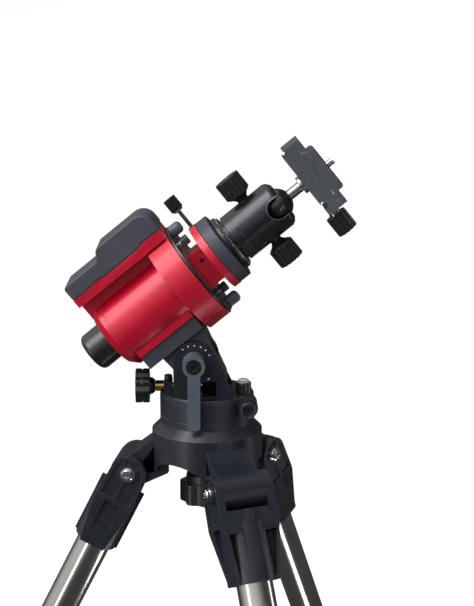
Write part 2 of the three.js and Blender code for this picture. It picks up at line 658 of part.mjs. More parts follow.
function clampBody() {
  const { z0, z1, x0, x1, half } = CLAMP;
  const bed = box(x0, x1, -half, half, z0, z1);
  const jaw = box(x0, -PLATE.top - 0.6, -half, half, z0, JAW.top);
  const hole = rod(3.3, z0 - 1, z0 + 8, COARSE);
  const screwHole = alongX(rod(2.3, 0, 40, COARSE)).translate(0, 0, z0 + 5);
  return cut(join(bed, jaw), dovetail(GAP, PLATE.z0 - GAP, 150), hole, screwHole);
}

function clampJaw() {
  const { z0, x1, half } = CLAMP;
  const block = box(x1 + GAP, x1 + GAP + JAW.thick, -half, half, z0 + 0.5, JAW.top);
  const lip = box(PLATE.top + 0.6, x1 + GAP + 1, -half, half, CLAMP.z1 + GAP, JAW.top);
  const screwHole = alongX(rod(2.3, 0, 60, COARSE)).translate(0, 0, z0 + 5);
  return cut(join(block, lip), dovetail(GAP, PLATE.z0 - GAP, 150), screwHole);
}

function clampKnob() {
  const start = CLAMP.x1 + GAP + JAW.thick + GAP;
  const collar = rod(4.4, start, 39, COARSE);
  const grip = lobed(9.75, 38, 57, 10, 0.9);
  const screw = rod(2, 8, start + 1, COARSE);
  return join(collar, grip, screw).rotate([0, 90, 0]).translate([0, 0, CLAMP.z0 + 5]);
}

function cameraPlate() {
  const plate = dovetail(0, PLATE.z0, PLATE.z1);
  const recess = rod(9, PLATE.z0 - 1, PLATE.z0 + 4, MEDIUM);
  const hole = rod(3.6, PLATE.z0, PLATE.z1 + 1, COARSE);
  return cut(plate, recess, hole);
}

function cameraScrew() {
  const { z0, z1 } = PLATE;
  return join(rod(8.4, z0 + 0.5, z0 + 3.6, MEDIUM), rod(3.1, z0 + 3, z1 + 6.5, COARSE));
}

// Assembly -----------------------------------------------------------------------------------
const mount = new THREE.Group();

const tripod = new THREE.Group();
tripod.position.z = -BASE.height - GAP;
tripod.add(part("tripod_hub", tripodHub(), CASTING), part("hub_knob", hubKnob(), BLACK));
LEG_ANGLES.forEach((angle, i) => tripod.add(makeLeg(i + 1, angle)));

const wedge = new THREE.Group();
wedge.add(
  part("azimuth_base", azimuthBase(), CASTING),
  part("azimuth_knob", azimuthKnob(), BLACK),
  part("bubble_level", bubbleLevel(), GREEN),
  part("altitude_bolt", altitudeBolt(), STEEL),
  part("lock_lever", lockLever(), CASTING),
  part("altitude_knob", altitudeKnob(), BLACK),
  part("altitude_worm", altitudeWorm(), BRASS),
);

// The tracker's frame is tilted to the latitude about the wedge's pivot.
const tilt = THREE.MathUtils.degToRad(90 - LATITUDE);
const down = new THREE.Vector3(1, 0, 0).applyAxisAngle(new THREE.Vector3(0, 1, 0), tilt);
const forward = new THREE.Vector3(0, 0, 1).applyAxisAngle(new THREE.Vector3(0, 1, 0), tilt);
const tracker = new THREE.Group();
tracker.rotation.y = tilt;
tracker.position
  .set(PIVOT.x, 0, PIVOT.z)
  .addScaledVector(down, -AXIS_ABOVE_PIVOT)
  .addScaledVector(forward, FRONT_AHEAD_OF_PIVOT);
tracker.add(
  part("tilt_bracket", tiltBracket(), CHARCOAL),
  part("tracker_housing", trackerHousing(), RED),
  part("electronics_cover", electronicsCover(), CHARCOAL),
  part("battery_pack", batteryPack(), GREY),
  part("front_plate", frontPlate(), BLACK),
  part("flange_knob_top", flangeKnob(-FLANGE_KNOB.at), GREY),
  part("flange_knob_bottom", flangeKnob(FLANGE_KNOB.at), GREY),
  part("ra_shaft", raShaft(), STEEL),
  part("worm_wheel", tube(WHEEL.r, SHAFT.r + GAP, WHEEL.z0, WHEEL.z1, FINE), BRASS),
  part("worm", worm(), STEEL),
  part("motor", motor(), BLACK),
  part("bearing_front", bearing(BEARING.front), STEEL),
  part("bearing_rear", bearing(BEARING.rear), STEEL),
  part("scope_tube", scopeTube(), BLACK),
  part("scope_cap", scopeCap(), BLACK),
  part("rotor_screw_top", rotorScrew(-ROTOR_SCREW.at), BLACK),
  part("rotor_screw_bottom", rotorScrew(ROTOR_SCREW.at), BLACK),
  part("mount_block", mountBlock(), RED),
  part("block_screw", blockScrew(), STEEL),
  part("adapter_disc", adapterDisc(), CASTING),
  part("pan_base", panBase(), BLACK),
  part("ball_case", ballCase(), BLACK),
  part("tension_knob", ballKnob(1), BLACK),
  part("lock_knob", ballKnob(-1), BLACK),
  part("ball_stem", ballStem(), STEEL),
  part("clamp_body", clampBody(), GREY),
  part("clamp_jaw", clampJaw(), GREY),
  part("clamp_knob", clampKnob(), BLACK),
  part("camera_plate", cameraPlate(), GREY),
  part("camera_screw", cameraScrew(), STEEL),
);

mount.add(tripod, wedge, tracker);

// The origin is on the floor under the middle of the whole mount.
const extent = new THREE.Box3().setFromObject(mount, true);
const middle = extent.getCenter(new THREE.Vector3());
mount.position.set(-middle.x, -middle.y, -extent.min.z);

export default mount;
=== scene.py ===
"""The looks of a star tracker mount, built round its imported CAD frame.

Sizes are in millimetres unless they say otherwise. Each part is made in a local frame: the
wedge's starts in the middle of the azimuth base's top, the tripod's lies below it, the tracker's Z
is the right ascension axis with the flange's front at 0, and a leg's Z runs up the leg.
"""

from math import acos, atan2, cos, degrees, hypot, pi, radians, sin, sqrt

import bmesh
import bpy
from mathutils import Matrix, Vector


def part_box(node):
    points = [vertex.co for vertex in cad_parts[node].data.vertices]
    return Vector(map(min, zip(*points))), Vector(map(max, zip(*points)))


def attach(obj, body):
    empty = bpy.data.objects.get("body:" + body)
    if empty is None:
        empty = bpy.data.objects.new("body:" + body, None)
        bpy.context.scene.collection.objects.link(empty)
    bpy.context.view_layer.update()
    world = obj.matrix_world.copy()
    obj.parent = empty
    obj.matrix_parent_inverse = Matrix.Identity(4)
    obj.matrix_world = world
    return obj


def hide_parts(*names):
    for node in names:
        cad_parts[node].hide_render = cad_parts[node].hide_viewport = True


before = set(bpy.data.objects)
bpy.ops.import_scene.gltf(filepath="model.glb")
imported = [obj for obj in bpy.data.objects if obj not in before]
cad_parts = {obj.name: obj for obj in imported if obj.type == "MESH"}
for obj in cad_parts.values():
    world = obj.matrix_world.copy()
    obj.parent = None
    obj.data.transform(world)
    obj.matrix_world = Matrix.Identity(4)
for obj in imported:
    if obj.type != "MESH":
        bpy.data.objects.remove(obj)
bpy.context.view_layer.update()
MM = 0.001

# ---- Driving dimensions ----
# _R is a radius, _HALF half a width along Y, _Z0 and _Z1 the two ends along Z.
GAP = 0.3  # between parts that meet or turn against each other
LATITUDE = 39
PIVOT = Vector((-11.7, 0, 32.2))
AXIS_ABOVE_PIVOT = 58.2
FRONT_AHEAD_OF_PIVOT = 51.8
WORM_Z = 4
BASE_R, BASE_H = 42.3, 27.4
EAR_R, EAR_IN, EAR_OUT, EAR_RIGHT = 18, 21, 29, 23.5
SADDLE = (26, 39.3, 26, -85.5, -26)  # x0, x1, half width, z0, z1
FLANGE_R, FLANGE_DEPTH = 47.8, 22.4
BODY_R, BODY_LONG, BODY_BORE = 33.5, 98, 20.3
RAIL_TOP, RAIL_LOW, RAIL_FRONT, RAIL_HALF, WEB_HALF = -44.6, -42, -1, 27, 12
RAIL_RIM = -50  # the lowest part of the rail's stepped edge
WALL = 2.5  # of the rail and the electronics cover
BOX_HALF, BOX_TOP, BOX_LOW, BOX_STEP = 27, -73, -64, -58
RING_R, RING_Z0, RING_Z1 = 33, 17, 23.7
CASE_R, CASE_Z0, CASE_Z1 = 22.5, 43.5, 97
BALL_R, BALL_Z, NOTCH_R = 15, 90, 9.5
KNOB_Z = 70.5
CLAMP_Z0, CLAMP_Z1, CLAMP_X0, CLAMP_X1, CLAMP_HALF = 120.5, 135.5, -35.6, 27, 19
HUB_R, HUB_DEEP = 49.7, 46
ARM_HALF, ARM_OUT, ARM_DROP, ARM_R = 20, 69, 46.5, 17
LEG_SPLAY, LEG_CASTING, LEG_EAR, LEG_CLAMP, LEG_FOOT = 26.8, 80, 26.5, 530, 705
LEG_ANGLES = (172, -68, 52)
TUBE_R, LOWER_R, FOOT_R = 15.875, 12.7, 14.75
BASE_KNOB_X, BASE_KNOB_Z = 36, -8.9
LEVEL_X, LEVEL_Y = 32.5, -12
FLANGE_KNOB_X, ROTOR_SCREW_X = 40, 27
JAW_SCREW_Z = CLAMP_Z0 + 5
JAW_TOP, DOVETAIL_BED, PLATE_LOW, PLATE_TOP = 141, 135.7, 136, 146
LEG_KNOB_DROP = 22  # from the middle of a leg's clamp down to its knob
HUB_BORE, LEG_BOLT_BORE, ALTITUDE_BORE, STEM_BORE, JAW_SCREW_BORE = 5.6, 4.3, 5.3, 3.3, 2.3

# ---- Places, from the frame ----
# The hub knob is on the azimuth axis. Its stem ends this far below the wedge's origin.
KNOB_STEM_BELOW_BASE = 18.7
knob_low, knob_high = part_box("hub_knob")
ORIGIN = Vector((
    (knob_low.x + knob_high.x) / 2,
    (knob_low.y + knob_high.y) / 2,
    knob_high.z + KNOB_STEM_BELOW_BASE * MM,
))


def shift(x, y, z):
    """A move of a place, whose translation is in metres."""
    return Matrix.Translation(Vector((x, y, z)) * MM)


def shift_mm(x, y, z):
    """A move of a solid, which is in millimetres."""
    return Matrix.Translation((x, y, z))


def turn(angle, axis):
    return Matrix.Rotation(radians(angle), 4, axis)


WEDGE = Matrix.Translation(ORIGIN)
TRACKER = (
    WEDGE @ shift(*PIVOT) @ turn(90 - LATITUDE, "Y") @ shift(
        -AXIS_ABOVE_PIVOT, 0, FRONT_AHEAD_OF_PIVOT
    )
)
TRIPOD = WEDGE @ shift(0, 0, -BASE_H - GAP)


def leg_place(angle):
    return TRIPOD @ turn(angle, "Z") @ shift(ARM_OUT, 0, -ARM_DROP) @ turn(-LEG_SPLAY, "Y")


# ---- Solids ----
# A solid is a loose mesh object in millimetres, about its own local axes. A tool that is cut from
# one reaches past it by any amount.
ON_AXIS = 1e-6


def from_bmesh(bm):
    bmesh.ops.recalc_face_normals(bm, faces=bm.faces)
    mesh = bpy.data.meshes.new("solid")
    bm.to_mesh(mesh)
    bm.free()
    made = bpy.data.objects.new("solid", mesh)
    bpy.context.scene.collection.objects.link(made)
    return made


def lathe(profile, sides=96):
    """A solid of revolution about Z. Its (radius, z) points start and end on the axis, or go all
    the way round an outline off it."""
    bm = bmesh.new()
    rings = []
    for r, z in profile:
        if r < ON_AXIS:
            rings.append([bm.verts.new((0, 0, z))])
            continue
        angles = [2 * pi * i / sides for i in range(sides)]
        rings.append([bm.verts.new((r * cos(a), r * sin(a), z)) for a in angles])
    pairs = list(zip(rings, rings[1:]))
    if len(rings[0]) > 1:
        pairs.append((rings[-1], rings[0]))
    for low, high in pairs:
        for i in range(sides):
            j = (i + 1) % sides
            corners = [
                low[i % len(low)], low[j % len(low)], high[j % len(high)], high[i % len(high)]
            ]
            corners = list(dict.fromkeys(corners))  # a ring on the axis has one corner
            if len(corners) > 2:
                bm.faces.new(corners)
    return from_bmesh(bm)


def turned(points, sides=96):
    """A solid of revolution whose outline is closed by flat ends."""
    return lathe([(0, points[0][1]), *points, (0, points[-1][1])], sides)


def rod(r, z0, z1, sides=64):
    return turned([(r, z0), (r, z1)], sides)


def pipe(outer, inner, z0, z1, sides=96):
    return lathe([(inner, z0), (outer, z0), (outer, z1), (inner, z1)], sides)


def slab(points, z0, z1):
    """An outline of (x, y) points, extruded along Z."""
    bm = bmesh.new()
    low = [bm.verts.new((x, y, z0)) for x, y in points]
    high = [bm.verts.new((x, y, z1)) for x, y in points]
    bm.faces.new(low)
    bm.faces.new(high)
    for i in range(len(points)):
        j = (i + 1) % len(points)
        bm.faces.new((low[i], low[j], high[j], high[i]))
    return from_bmesh(bm)


def sheet(points, y0, y1):
    """An outline of (x, z) points, extruded along Y."""
    return moved(slab(points, -y1, -y0), turn(90, "X"))


def block(x0, x1, y0, y1, z0, z1):
    return slab([(x0, y0), (x1, y0), (x1, y1), (x0, y1)], z0, z1)


def arc(x, y, r, start, end, steps=24):
    """Points along an arc, with its ends in degrees."""
    angles = [radians(start + (end - start) * i / steps) for i in range(steps + 1)]
    return [(x + r * cos(a), y + r * sin(a)) for a in angles]


def hexagon(r, z0, z1):
    return slab(arc(0, 0, r, 0, 300, 5), z0, z1)


def lobes(r, count, depth, sharp=1.0, per_lobe=10):
    """A knob's outline, with rounded lobes round its rim."""
    points = []
    steps = count * per_lobe
    for i in range(steps):
        angle = 2 * pi * i / steps
        dip = (0.5 - 0.5 * cos(count * angle)) ** sharp
        points.append(((r - depth * dip) * cos(angle), (r - depth * dip) * sin(angle)))
    return points


def moved(solid, matrix):
    solid.data.transform(matrix)
    return solid


def at(solid, x=0, y=0, z=0):
    return moved(solid, shift_mm(x, y, z))


def along_x(solid):
    return moved(solid, turn(90, "Y"))


def along_y(solid):
    return moved(solid, turn(-90, "X"))


def rod_x(r, x0, x1, z, sides):
    return at(along_x(rod(r, x0, x1, sides)), 0, 0, z)


def rod_y(r, y0, y1, x, z, sides):
    return at(along_y(rod(r, y0, y1, sides)), x, 0, z)


def applied(solid):
    """The solid, with its modifiers made part of its mesh."""
    graph = bpy.context.evaluated_depsgraph_get()
    mesh = bpy.data.meshes.new_from_object(solid.evaluated_get(graph))
    solid.modifiers.clear()
    old = solid.data
    solid.data = mesh
    bpy.data.meshes.remove(old)
    return solid


def combined(solid, tools, operation):
    for tool in tools:
        step = solid.modifiers.new("step", "BOOLEAN")
        step.operation = operation
        step.solver = "MANIFOLD"
        step.object = tool
    applied(solid)
    for tool in tools:
        bpy.data.objects.remove(tool)
    return solid


def cut(solid, *tools):
    return combined(solid, tools, "DIFFERENCE")


def join(solid, *tools):
    return combined(solid, tools, "UNION")


def common(solid, tool):
    return combined(solid, [tool], "INTERSECT")


def merged(solid, *others):
    """Separate closed shells in one object, for marks and other repeated small things."""
    bm = bmesh.new()
    bm.from_mesh(solid.data)
    for other in others:
        bm.from_mesh(other.data)
        bpy.data.objects.remove(other)
    bm.to_mesh(solid.data)
    bm.free()
    return solid


SHARP_ANGLE = 38  # degrees: a steeper edge than this is shaded as an edge


def piece(name, solid, place, body, look, nodes=(), bevel=0.5, steps=2, angle=32):
    """Rounds a solid's edges, puts it in its place and lets it ride on its CAD body. Its points in
    its own frame are kept as the attribute that its material reads."""
    if bevel:
        edge = solid.modifiers.new("edge", "BEVEL")
        edge.width = bevel
        edge.segments = steps
        edge.limit_method = "ANGLE"
        edge.angle_limit = radians(angle)
        edge.miter_outer = "MITER_ARC"
        applied(solid)
    mesh = solid.data
    local = mesh.attributes.new("local", "FLOAT_VECTOR", "POINT")
    for i, vertex in enumerate(mesh.vertices):
        local.data[i].vector = vertex.co
    mesh.transform(place @ Matrix.Scale(MM, 4))
    mesh.shade_smooth()
    mesh.set_sharp_from_angle(angle=radians(SHARP_ANGLE))
    mesh.materials.clear()
    mesh.materials.append(look)
    solid.name = name
    mesh.name = name
    weight = solid.modifiers.new("weight", "WEIGHTED_NORMAL")
    weight.keep_sharp = True
    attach(solid, body)
    if nodes:
        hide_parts(*nodes)
    return solid


# ---- Materials ----
def srgb(r, g, b):
    """A linear colour from one in sRGB."""
    def linear(v):
        v /= 255
        return v / 12.92 if v <= 0.04045 else ((v + 0.055) / 1.055) ** 2.4

    return (linear(r), linear(g), linear(b), 1)


# The mix node repeats its socket names for each data type, so its colour sockets go by number.
MIX_FACTOR, MIX_COLOUR_A, MIX_COLOUR_B, MIX_RESULT = 0, 6, 7, 2
# Edge wear and painted edge highlight, by the cosine between a surface's own normal and one rounded
# over EDGE_REACH.
EDGE_STARTS, EDGE_FULL = 0.985, 0.86
EDGE_REACH = 0.7


def set_values(node, values):
    for socket, value in values.items():
        node.inputs[socket].default_value = value


def add_node(tree, kind, values=None, **settings):
    """A shader node, with its settings and its sockets' values, by socket name or number."""
    node = tree.nodes.new("ShaderNode" + kind)
    for name, setting in settings.items():
        setattr(node, name, setting)
    set_values(node, values or {})
    return node


class Nodes:
    """A material being built. Its textures read a place in millimetres: a piece's "local"
    attribute, or object coordinates for a node from the CAD."""

    def __init__(self, name, local):
        self.material = bpy.data.materials.new(name)
        self.material.use_nodes = True
        self.tree = self.material.node_tree
        self.shader = self.tree.nodes["Principled BSDF"]
        if local:
            source = add_node(self.tree, "Attribute", attribute_name="local")
            self.place = source.outputs["Vector"]
        else:
            source = add_node(self.tree, "TexCoord")
            scale = add_node(self.tree, "VectorMath", operation="SCALE")
            set_values(scale, {"Scale": 1 / MM})
            self.link(source.outputs["Object"], scale.inputs[0])
            self.place = scale.outputs[0]

    def link(self, output, socket):
        self.tree.links.new(output, socket)

    def stretched(self, x, y, z):
        node = add_node(self.tree, "VectorMath", {1: (x, y, z)}, operation="MULTIPLY")
        self.link(self.place, node.inputs[0])
        return node.outputs[0]

    def noise(self, scale, detail=3, vector=None, roughness=0.55):
        values = {"Scale": scale, "Detail": detail, "Roughness": roughness}
        node = add_node(self.tree, "TexNoise", values)
        self.link(self.place if vector is None else vector, node.inputs["Vector"])
        return node.outputs["Fac"]

    def spread(self, value, low, high, out_low, out_high):
        values = {"From Min": low, "From Max": high, "To Min": out_low, "To Max": out_high}
        node = add_node(self.tree, "MapRange", values)
        self.link(value, node.inputs["Value"])
        return node.outputs["Result"]

    def mix(self, factor, first, second):
        node = add_node(self.tree, "Mix", data_type="RGBA")
        for index, value in ((MIX_FACTOR, factor), (MIX_COLOUR_A, first), (MIX_COLOUR_B, second)):
            socket = node.inputs[index]
            if isinstance(value, (tuple, float)):
                socket.default_value = value
            else:
                self.link(value, socket)
        return node.outputs[MIX_RESULT]

    def multiply(self, first, second):
        node = add_node(self.tree, "Math", operation="MULTIPLY")
        self.link(first, node.inputs[0])
        self.link(second, node.inputs[1])
        return node.outputs[0]

    def bump(self, height, distance, strength=1.0):
        node = add_node(self.tree, "Bump", {"Distance": distance * MM, "Strength": strength})
        self.link(height, node.inputs["Height"])
        self.link(node.outputs["Normal"], self.shader.inputs["Normal"])

    def edges(self, radius):
        """1 along convex and concave edges, 0 on flat faces."""
        soft = add_node(self.tree, "Bevel", {"Radius": radius * MM}, samples=4)
        plain = add_node(self.tree, "NewGeometry")
        dot = add_node(self.tree, "VectorMath", operation="DOT_PRODUCT")
        self.link(soft.outputs["Normal"], dot.inputs[0])
        self.link(plain.outputs["Normal"], dot.inputs[1])
        return self.spread(dot.outputs["Value"], EDGE_STARTS, EDGE_FULL, 0.0, 1.0)


def coating(
    name, colour, roughness, metallic=0.0, wear_and_highlight=None, grain=1.6, rough_by=0.08, bumpy=0.02,
    vary=0.12, streak=None, coat=0.0, specular=0.5, local=True, wear_and_highlight_by=0.6,
):
    """A paint, plastic or metal surface: colour drift, fine grain, uneven gloss, and edges
    lightened as wear and as a painted highlight. The colours are sRGB, from 0 to 255."""
    made = Nodes(name, local)
    shader = made.shader
    drift = made.noise(0.045, 4)
    fine = made.noise(grain, 2)
    base = srgb(*colour)[:3]
    dark = tuple(c * (1 - vary) for c in base) + (1,)
    light = tuple(min(1, c * (1 + vary)) for c in base) + (1,)
    tint = made.mix(made.spread(drift, 0.3, 0.7, 0.0, 1.0), dark, light)
    speck = made.spread(fine, 0.35, 0.65, 0.0, vary)
    tint = made.mix(speck, tint, light)
    if wear_and_highlight:
        patchy = made.spread(made.noise(0.5, 3), 0.42, 0.62, 0.0, wear_and_highlight_by)
        tint = made.mix(made.multiply(made.edges(EDGE_REACH), patchy), tint, srgb(*wear_and_highlight))
    made.link(tint, shader.inputs["Base Color"])
    if streak:
        uneven = relief = made.noise(1.0, 4, made.stretched(*streak), 0.7)
    else:
        uneven, relief = made.noise(0.16, 5), fine
    gloss = made.spread(uneven, 0.3, 0.7, roughness - rough_by, roughness + rough_by)
    made.link(gloss, shader.inputs["Roughness"])
    made.bump(relief, bumpy)
    set_values(shader, {"Metallic": metallic, "Specular IOR Level": specular})
    set_values(shader, {"Coat Weight": coat, "Coat Roughness": 0.3})
    return made.material


WORN = (116, 121, 128)
casting = coating("casting_paint", (30, 34, 43), 0.35, wear_and_highlight=WORN, grain=1.1, bumpy=0.04)
lever_paint = coating(
    "lever_paint", (84, 91, 102), 0.38, wear_and_highlight=WORN, grain=1.1, bumpy=0.03, specular=0.4
)
charcoal = coating(
    "charcoal_paint", (61, 65, 74), 0.42, wear_and_highlight=WORN, grain=1.4, bumpy=0.03, vary=0.08, specular=0.4
)
# Its pale edge colour is a painted highlight along the cover's edges.
cover_plastic = coating(
    "cover_plastic", (72, 72, 82), 0.45, grain=2.2, bumpy=0.05, vary=0.08, specular=0.45,
    wear_and_highlight=(150, 154, 164), wear_and_highlight_by=1.0,
)
# Its pale pink edge colour is a painted highlight along the edges.
red = coating(
    "red_anodised", (202, 1, 46), 0.42, metallic=0.25, wear_and_highlight=(240, 130, 150), grain=3.0, bumpy=0.008,
    vary=0.08, coat=1.0, specular=0.2, rough_by=0.05,
)
black_metal = coating(
    "black_anodised", (28, 31, 38), 0.27, metallic=0.5, wear_and_highlight=(150, 153, 158), grain=3.0,
    bumpy=0.006, rough_by=0.05, coat=0.7,
)
grey_metal = coating(
    "grey_anodised", (106, 110, 120), 0.34, metallic=0.6, wear_and_highlight=(200, 203, 210), grain=3.0,
    bumpy=0.008, wear_and_highlight_by=1.0, coat=0.5,
)
# Its pale edge colour is a painted highlight on the knobs' ridges and edges.
black_plastic = coating(
    "black_plastic", (26, 27, 31), 0.28, grain=1.8, bumpy=0.03, wear_and_highlight=(128, 132, 140), wear_and_highlight_by=1.0,
    specular=0.6, coat=0.45,
)
grey_plastic = coating("grey_plastic", (82, 88, 101), 0.34, grain=1.8, bumpy=0.02)
tube_steel = coating(
    "tube_steel", (206, 205, 200), 0.17, metallic=1.0, streak=(1.4, 1.4, 0.012), bumpy=0.004,
    rough_by=0.07, vary=0.06,
)
steel = coating(
    "steel", (190, 190, 190), 0.2, metallic=1.0, streak=(0.9, 0.9, 0.9), bumpy=0.004, rough_by=0.08,
    vary=0.08,
)
chrome = coating(
    "chrome", (228, 229, 232), 0.09, metallic=1.0, grain=0.6, bumpy=0.001, rough_by=0.03, vary=0.03
)
brass = coating("brass", (224, 184, 104), 0.2, metallic=1.0, streak=(0.6, 0.6, 4.0), bumpy=0.006)
rubber = coating("rubber", (28, 28, 29), 0.8, grain=1.2, bumpy=0.08, vary=0.2)
black_gloss = coating(
    "black_gloss", (20, 21, 23), 0.22, grain=2.0, bumpy=0.001, rough_by=0.05, coat=0.8, specular=0.8
)
stem_steel = coating(
    "stem_steel", (168, 170, 175), 0.22, metallic=1.0, streak=(0.2, 0.2, 2.5), bumpy=0.004,
    rough_by=0.07, vary=0.06,
)
board_green = coating("board_green", (24, 84, 52), 0.4, grain=0.8, bumpy=0.02, vary=0.2)
mark_paint = coating("mark_paint", (226, 228, 230), 0.55, grain=2.5, bumpy=0.02, vary=0.05)
inner_steel = coating(
    "inner_steel", (178, 178, 176), 0.25, metallic=1.0, grain=1.5, bumpy=0.004, local=False
)
inner_brass = coating(
    "inner_brass", (206, 166, 92), 0.28, metallic=1.0, grain=1.5, bumpy=0.006, local=False
)
inner_black = coating(
    "inner_black", (38, 39, 42), 0.4, metallic=0.4, grain=1.8, bumpy=0.01, local=False
)
battery_wrap = coating("battery_wrap", (46, 84, 128), 0.35, grain=0.9, bumpy=0.02, local=False)


def clear_plastic():
    """The bubble level's dome."""
    made = Nodes("level_dome", True)
    shader = made.shader
    tint = made.mix(
        made.spread(made.noise(0.3), 0.3, 0.7, 0.0, 1.0), srgb(232, 240, 232), srgb(246, 250, 244)
    )
    made.link(tint, shader.inputs["Base Color"])
    made.link(made.spread(made.noise(0.8), 0.3, 0.7, 0.02, 0.07), shader.inputs["Roughness"])
    made.bump(made.noise(1.5), 0.002)
    set_values(shader, {"Transmission Weight": 0.75, "IOR": 1.49})
    return made.material


dome_plastic = clear_plastic()


# ---- Tripod ----
def hub_arm():
    inner = 33
    side = [(inner, -10), (HUB_R - 1, -16.5), (ARM_OUT - 3, ARM_R - ARM_DROP)]
    side += arc(ARM_OUT, -ARM_DROP, ARM_R, 90, -90, 28)
    side += [(inner, -HUB_DEEP)]
    pocket = block(30, ARM_OUT - ARM_R, -14, 14, -70, -20)
    hole = rod_y(LEG_BOLT_BORE, -30, 30, ARM_OUT, -ARM_DROP, 32)
    return cut(sheet(side, -ARM_HALF, ARM_HALF), pocket, hole)


def make_hub():
    inside, chamfer, roof = HUB_R - 6, 7.4, -10
    hub = lathe([
        (HUB_BORE, 0), (HUB_R - chamfer, 0), (HUB_R, -chamfer), (HUB_R, -HUB_DEEP),
        (inside, -HUB_DEEP), (inside, roof), (HUB_BORE, roof),
    ], 144)
    arches = []
    flattened = Matrix.Diagonal((1, 1.15, 0.62, 1))
    for angle in LEG_ANGLES:
        opening = along_x(rod(24, 10, 80))
        arches.append(moved(opening, shift_mm(0, 0, -HUB_DEEP) @ turn(angle + 60, "Z") @ flattened))
    hub = cut(hub, *arches)
    hub = join(hub, *[moved(hub_arm(), turn(angle, "Z")) for angle in LEG_ANGLES])
    hub = cut(hub, rod(HUB_BORE, -HUB_DEEP - 5, 5, 48))
    piece("tripod_hub_shell", hub, TRIPOD, "crown", casting, ["tripod_hub"], 1.1, 3)


def make_hub_knob():
    dish = rod(13, -77, -74.6, 48)
    grip = cut(slab(lobes(25, 8, 3), -76, -57), dish)
    piece("hub_knob_grip", grip, TRIPOD, "hub_knob", black_plastic, ["hub_knob"],
          2.4, 4)
    stem = turned([(19, -57.4), (19, -50.5), (17.5, -49), (5, -49), (5, 9)], 64)
    piece("hub_knob_stem", stem, TRIPOD, "hub_knob", black_plastic, bevel=0.4)


def make_casting(number, place, body):
    """A leg's casting: tapering cheeks round a socket, hollowed on their faces and ribbed."""
    neck = -ARM_R - 0.6
    socket = turned([(19.9, -LEG_CASTING), (19.9, -30), (17.5, neck)])
    outline = arc(0, 0, 16.5, 180, 0, 28)
    outline += [(18, -34), (12, -LEG_CASTING), (-12, -LEG_CASTING), (-18, -34)]
    cheeks = sheet(outline, -LEG_EAR, LEG_EAR)
    half = [(LEG_EAR, 20), (LEG_EAR, -30), (20, 6 - LEG_CASTING), (20, -LEG_CASTING - 1)]
    taper = sheet(half + [(-y, z) for y, z in reversed(half)], -40, 40)
    fork = common(cheeks, moved(taper, turn(90, "Z")))
    valleys = []
    inner = [(22.5, -37), (16.6, 3.5 - LEG_CASTING)]
    for start, end in ((9, 40), (-40, -9)):
        valley = sheet(inner + [(-y, z) for y, z in reversed(inner)], -end, -start)
        valleys.append(moved(valley, turn(90, "Z")))
    solid = join(cut(fork, *valleys), socket)
    rib_x, rib_deep = 19.2, 2.4
    ribs = [
        block(rib_x * side - rib_deep, rib_x * side + rib_deep, -1.7, 1.7, -LEG_CASTING + 0.5, -20)
        for side in (-1, 1)
    ]
    solid = join(solid, *ribs)
    tools = [
        block(-40, 40, -ARM_HALF - GAP, ARM_HALF + GAP, neck, 40),
        rod(TUBE_R + GAP, -LEG_CASTING - 2, -21),
        along_y(rod(LEG_BOLT_BORE, -40, 40, 32)),
    ]
    key = 1.3
    for side in (-1, 1):
        face = side * LEG_EAR
        y0, y1 = sorted((face - side * 1.6, face + side * 5))
        recess = sheet(arc(0, 0, 13.4, 180, 0, 24) + [(14.6, -26), (-14.6, -26)], y0, y1)
        boss = along_y(rod(9.2, -30, 30, 48))
        keys = [moved(block(-key, key, -32, 32, 0, 16), turn(a, "Y")) for a in (-42, 42)]
        keys.append(block(-key, key, -32, 32, -27, -8))
        tools.append(cut(recess, boss, *keys))
        y0, y1 = sorted((side * 20.5, side * 40))
        tools.append(block(-8, 8, y0, y1, -LEG_CASTING - 2, -31))
    made = cut(solid, *tools)
    piece(f"leg_casting_shell_{number}", made, place, body, casting,
          [f"leg_casting_{number}"], 0.8)


def make_leg_bolt(number, place, body):
    end = LEG_EAR + GAP
    bolt = along_y(rod(4, -end - 0.5, end + 0.5, 48))
    heads = []
    for side in (-1, 1):
        head = lathe([
            (0, end), (6.9, end), (6.9, end + 0.7), (5.4, end + 0.7), (5.4, end + 3.2),
            (4.6, end + 4.1), (0, end + 4.2),
        ], 64)
        head = cut(head, hexagon(2.9, end + 2.2, end + 6))
        heads.append(moved(head, turn(-90 * side, "X")))
    piece(f"leg_bolt_steel_{number}", join(bolt, *heads), place, body, chrome,
          [f"leg_bolt_{number}"], 0.35)


def make_leg_clamp(number, place, body):
    narrow, wide = LOWER_R + GAP, TUBE_R + GAP
    collar = lathe([
        (narrow, -34), (19, -34), (20.5, -20), (20.5, 14), (18.5, 18), (wide, 18), (wide, -12),
        (narrow, -12),
    ])
    boss = rod_x(8, 16, 25, -LEG_KNOB_DROP, 48)
    grooves = [pipe(24, 20, z, z + 1.4) for z in (-9, -4, 1)]
    knob_bore = rod_x(STEM_BORE, 10, 30, -LEG_KNOB_DROP, 32)
    made = cut(join(collar, boss), rod(narrow, -40, 0), knob_bore, *grooves)
    piece(f"leg_clamp_collar_{number}", at(made, 0, 0, -LEG_CLAMP), place, body, casting,
          [f"leg_clamp_{number}"], 0.7)


def make_leg_clamp_knob(number, place, body):
    grip = slab(lobes(11, 6, 1.6), 25.3, 38)
    made = cut(grip, rod(5.2, 36.8, 40, 48))
    made = join(made, rod(3, LOWER_R + 0.6, 27, 32))
    made = at(along_x(made), 0, 0, -LEG_CLAMP - LEG_KNOB_DROP)
    piece(f"leg_clamp_knob_grip_{number}", made, place, body, black_plastic,
          [f"leg_clamp_knob_{number}"], 1.0, 3)


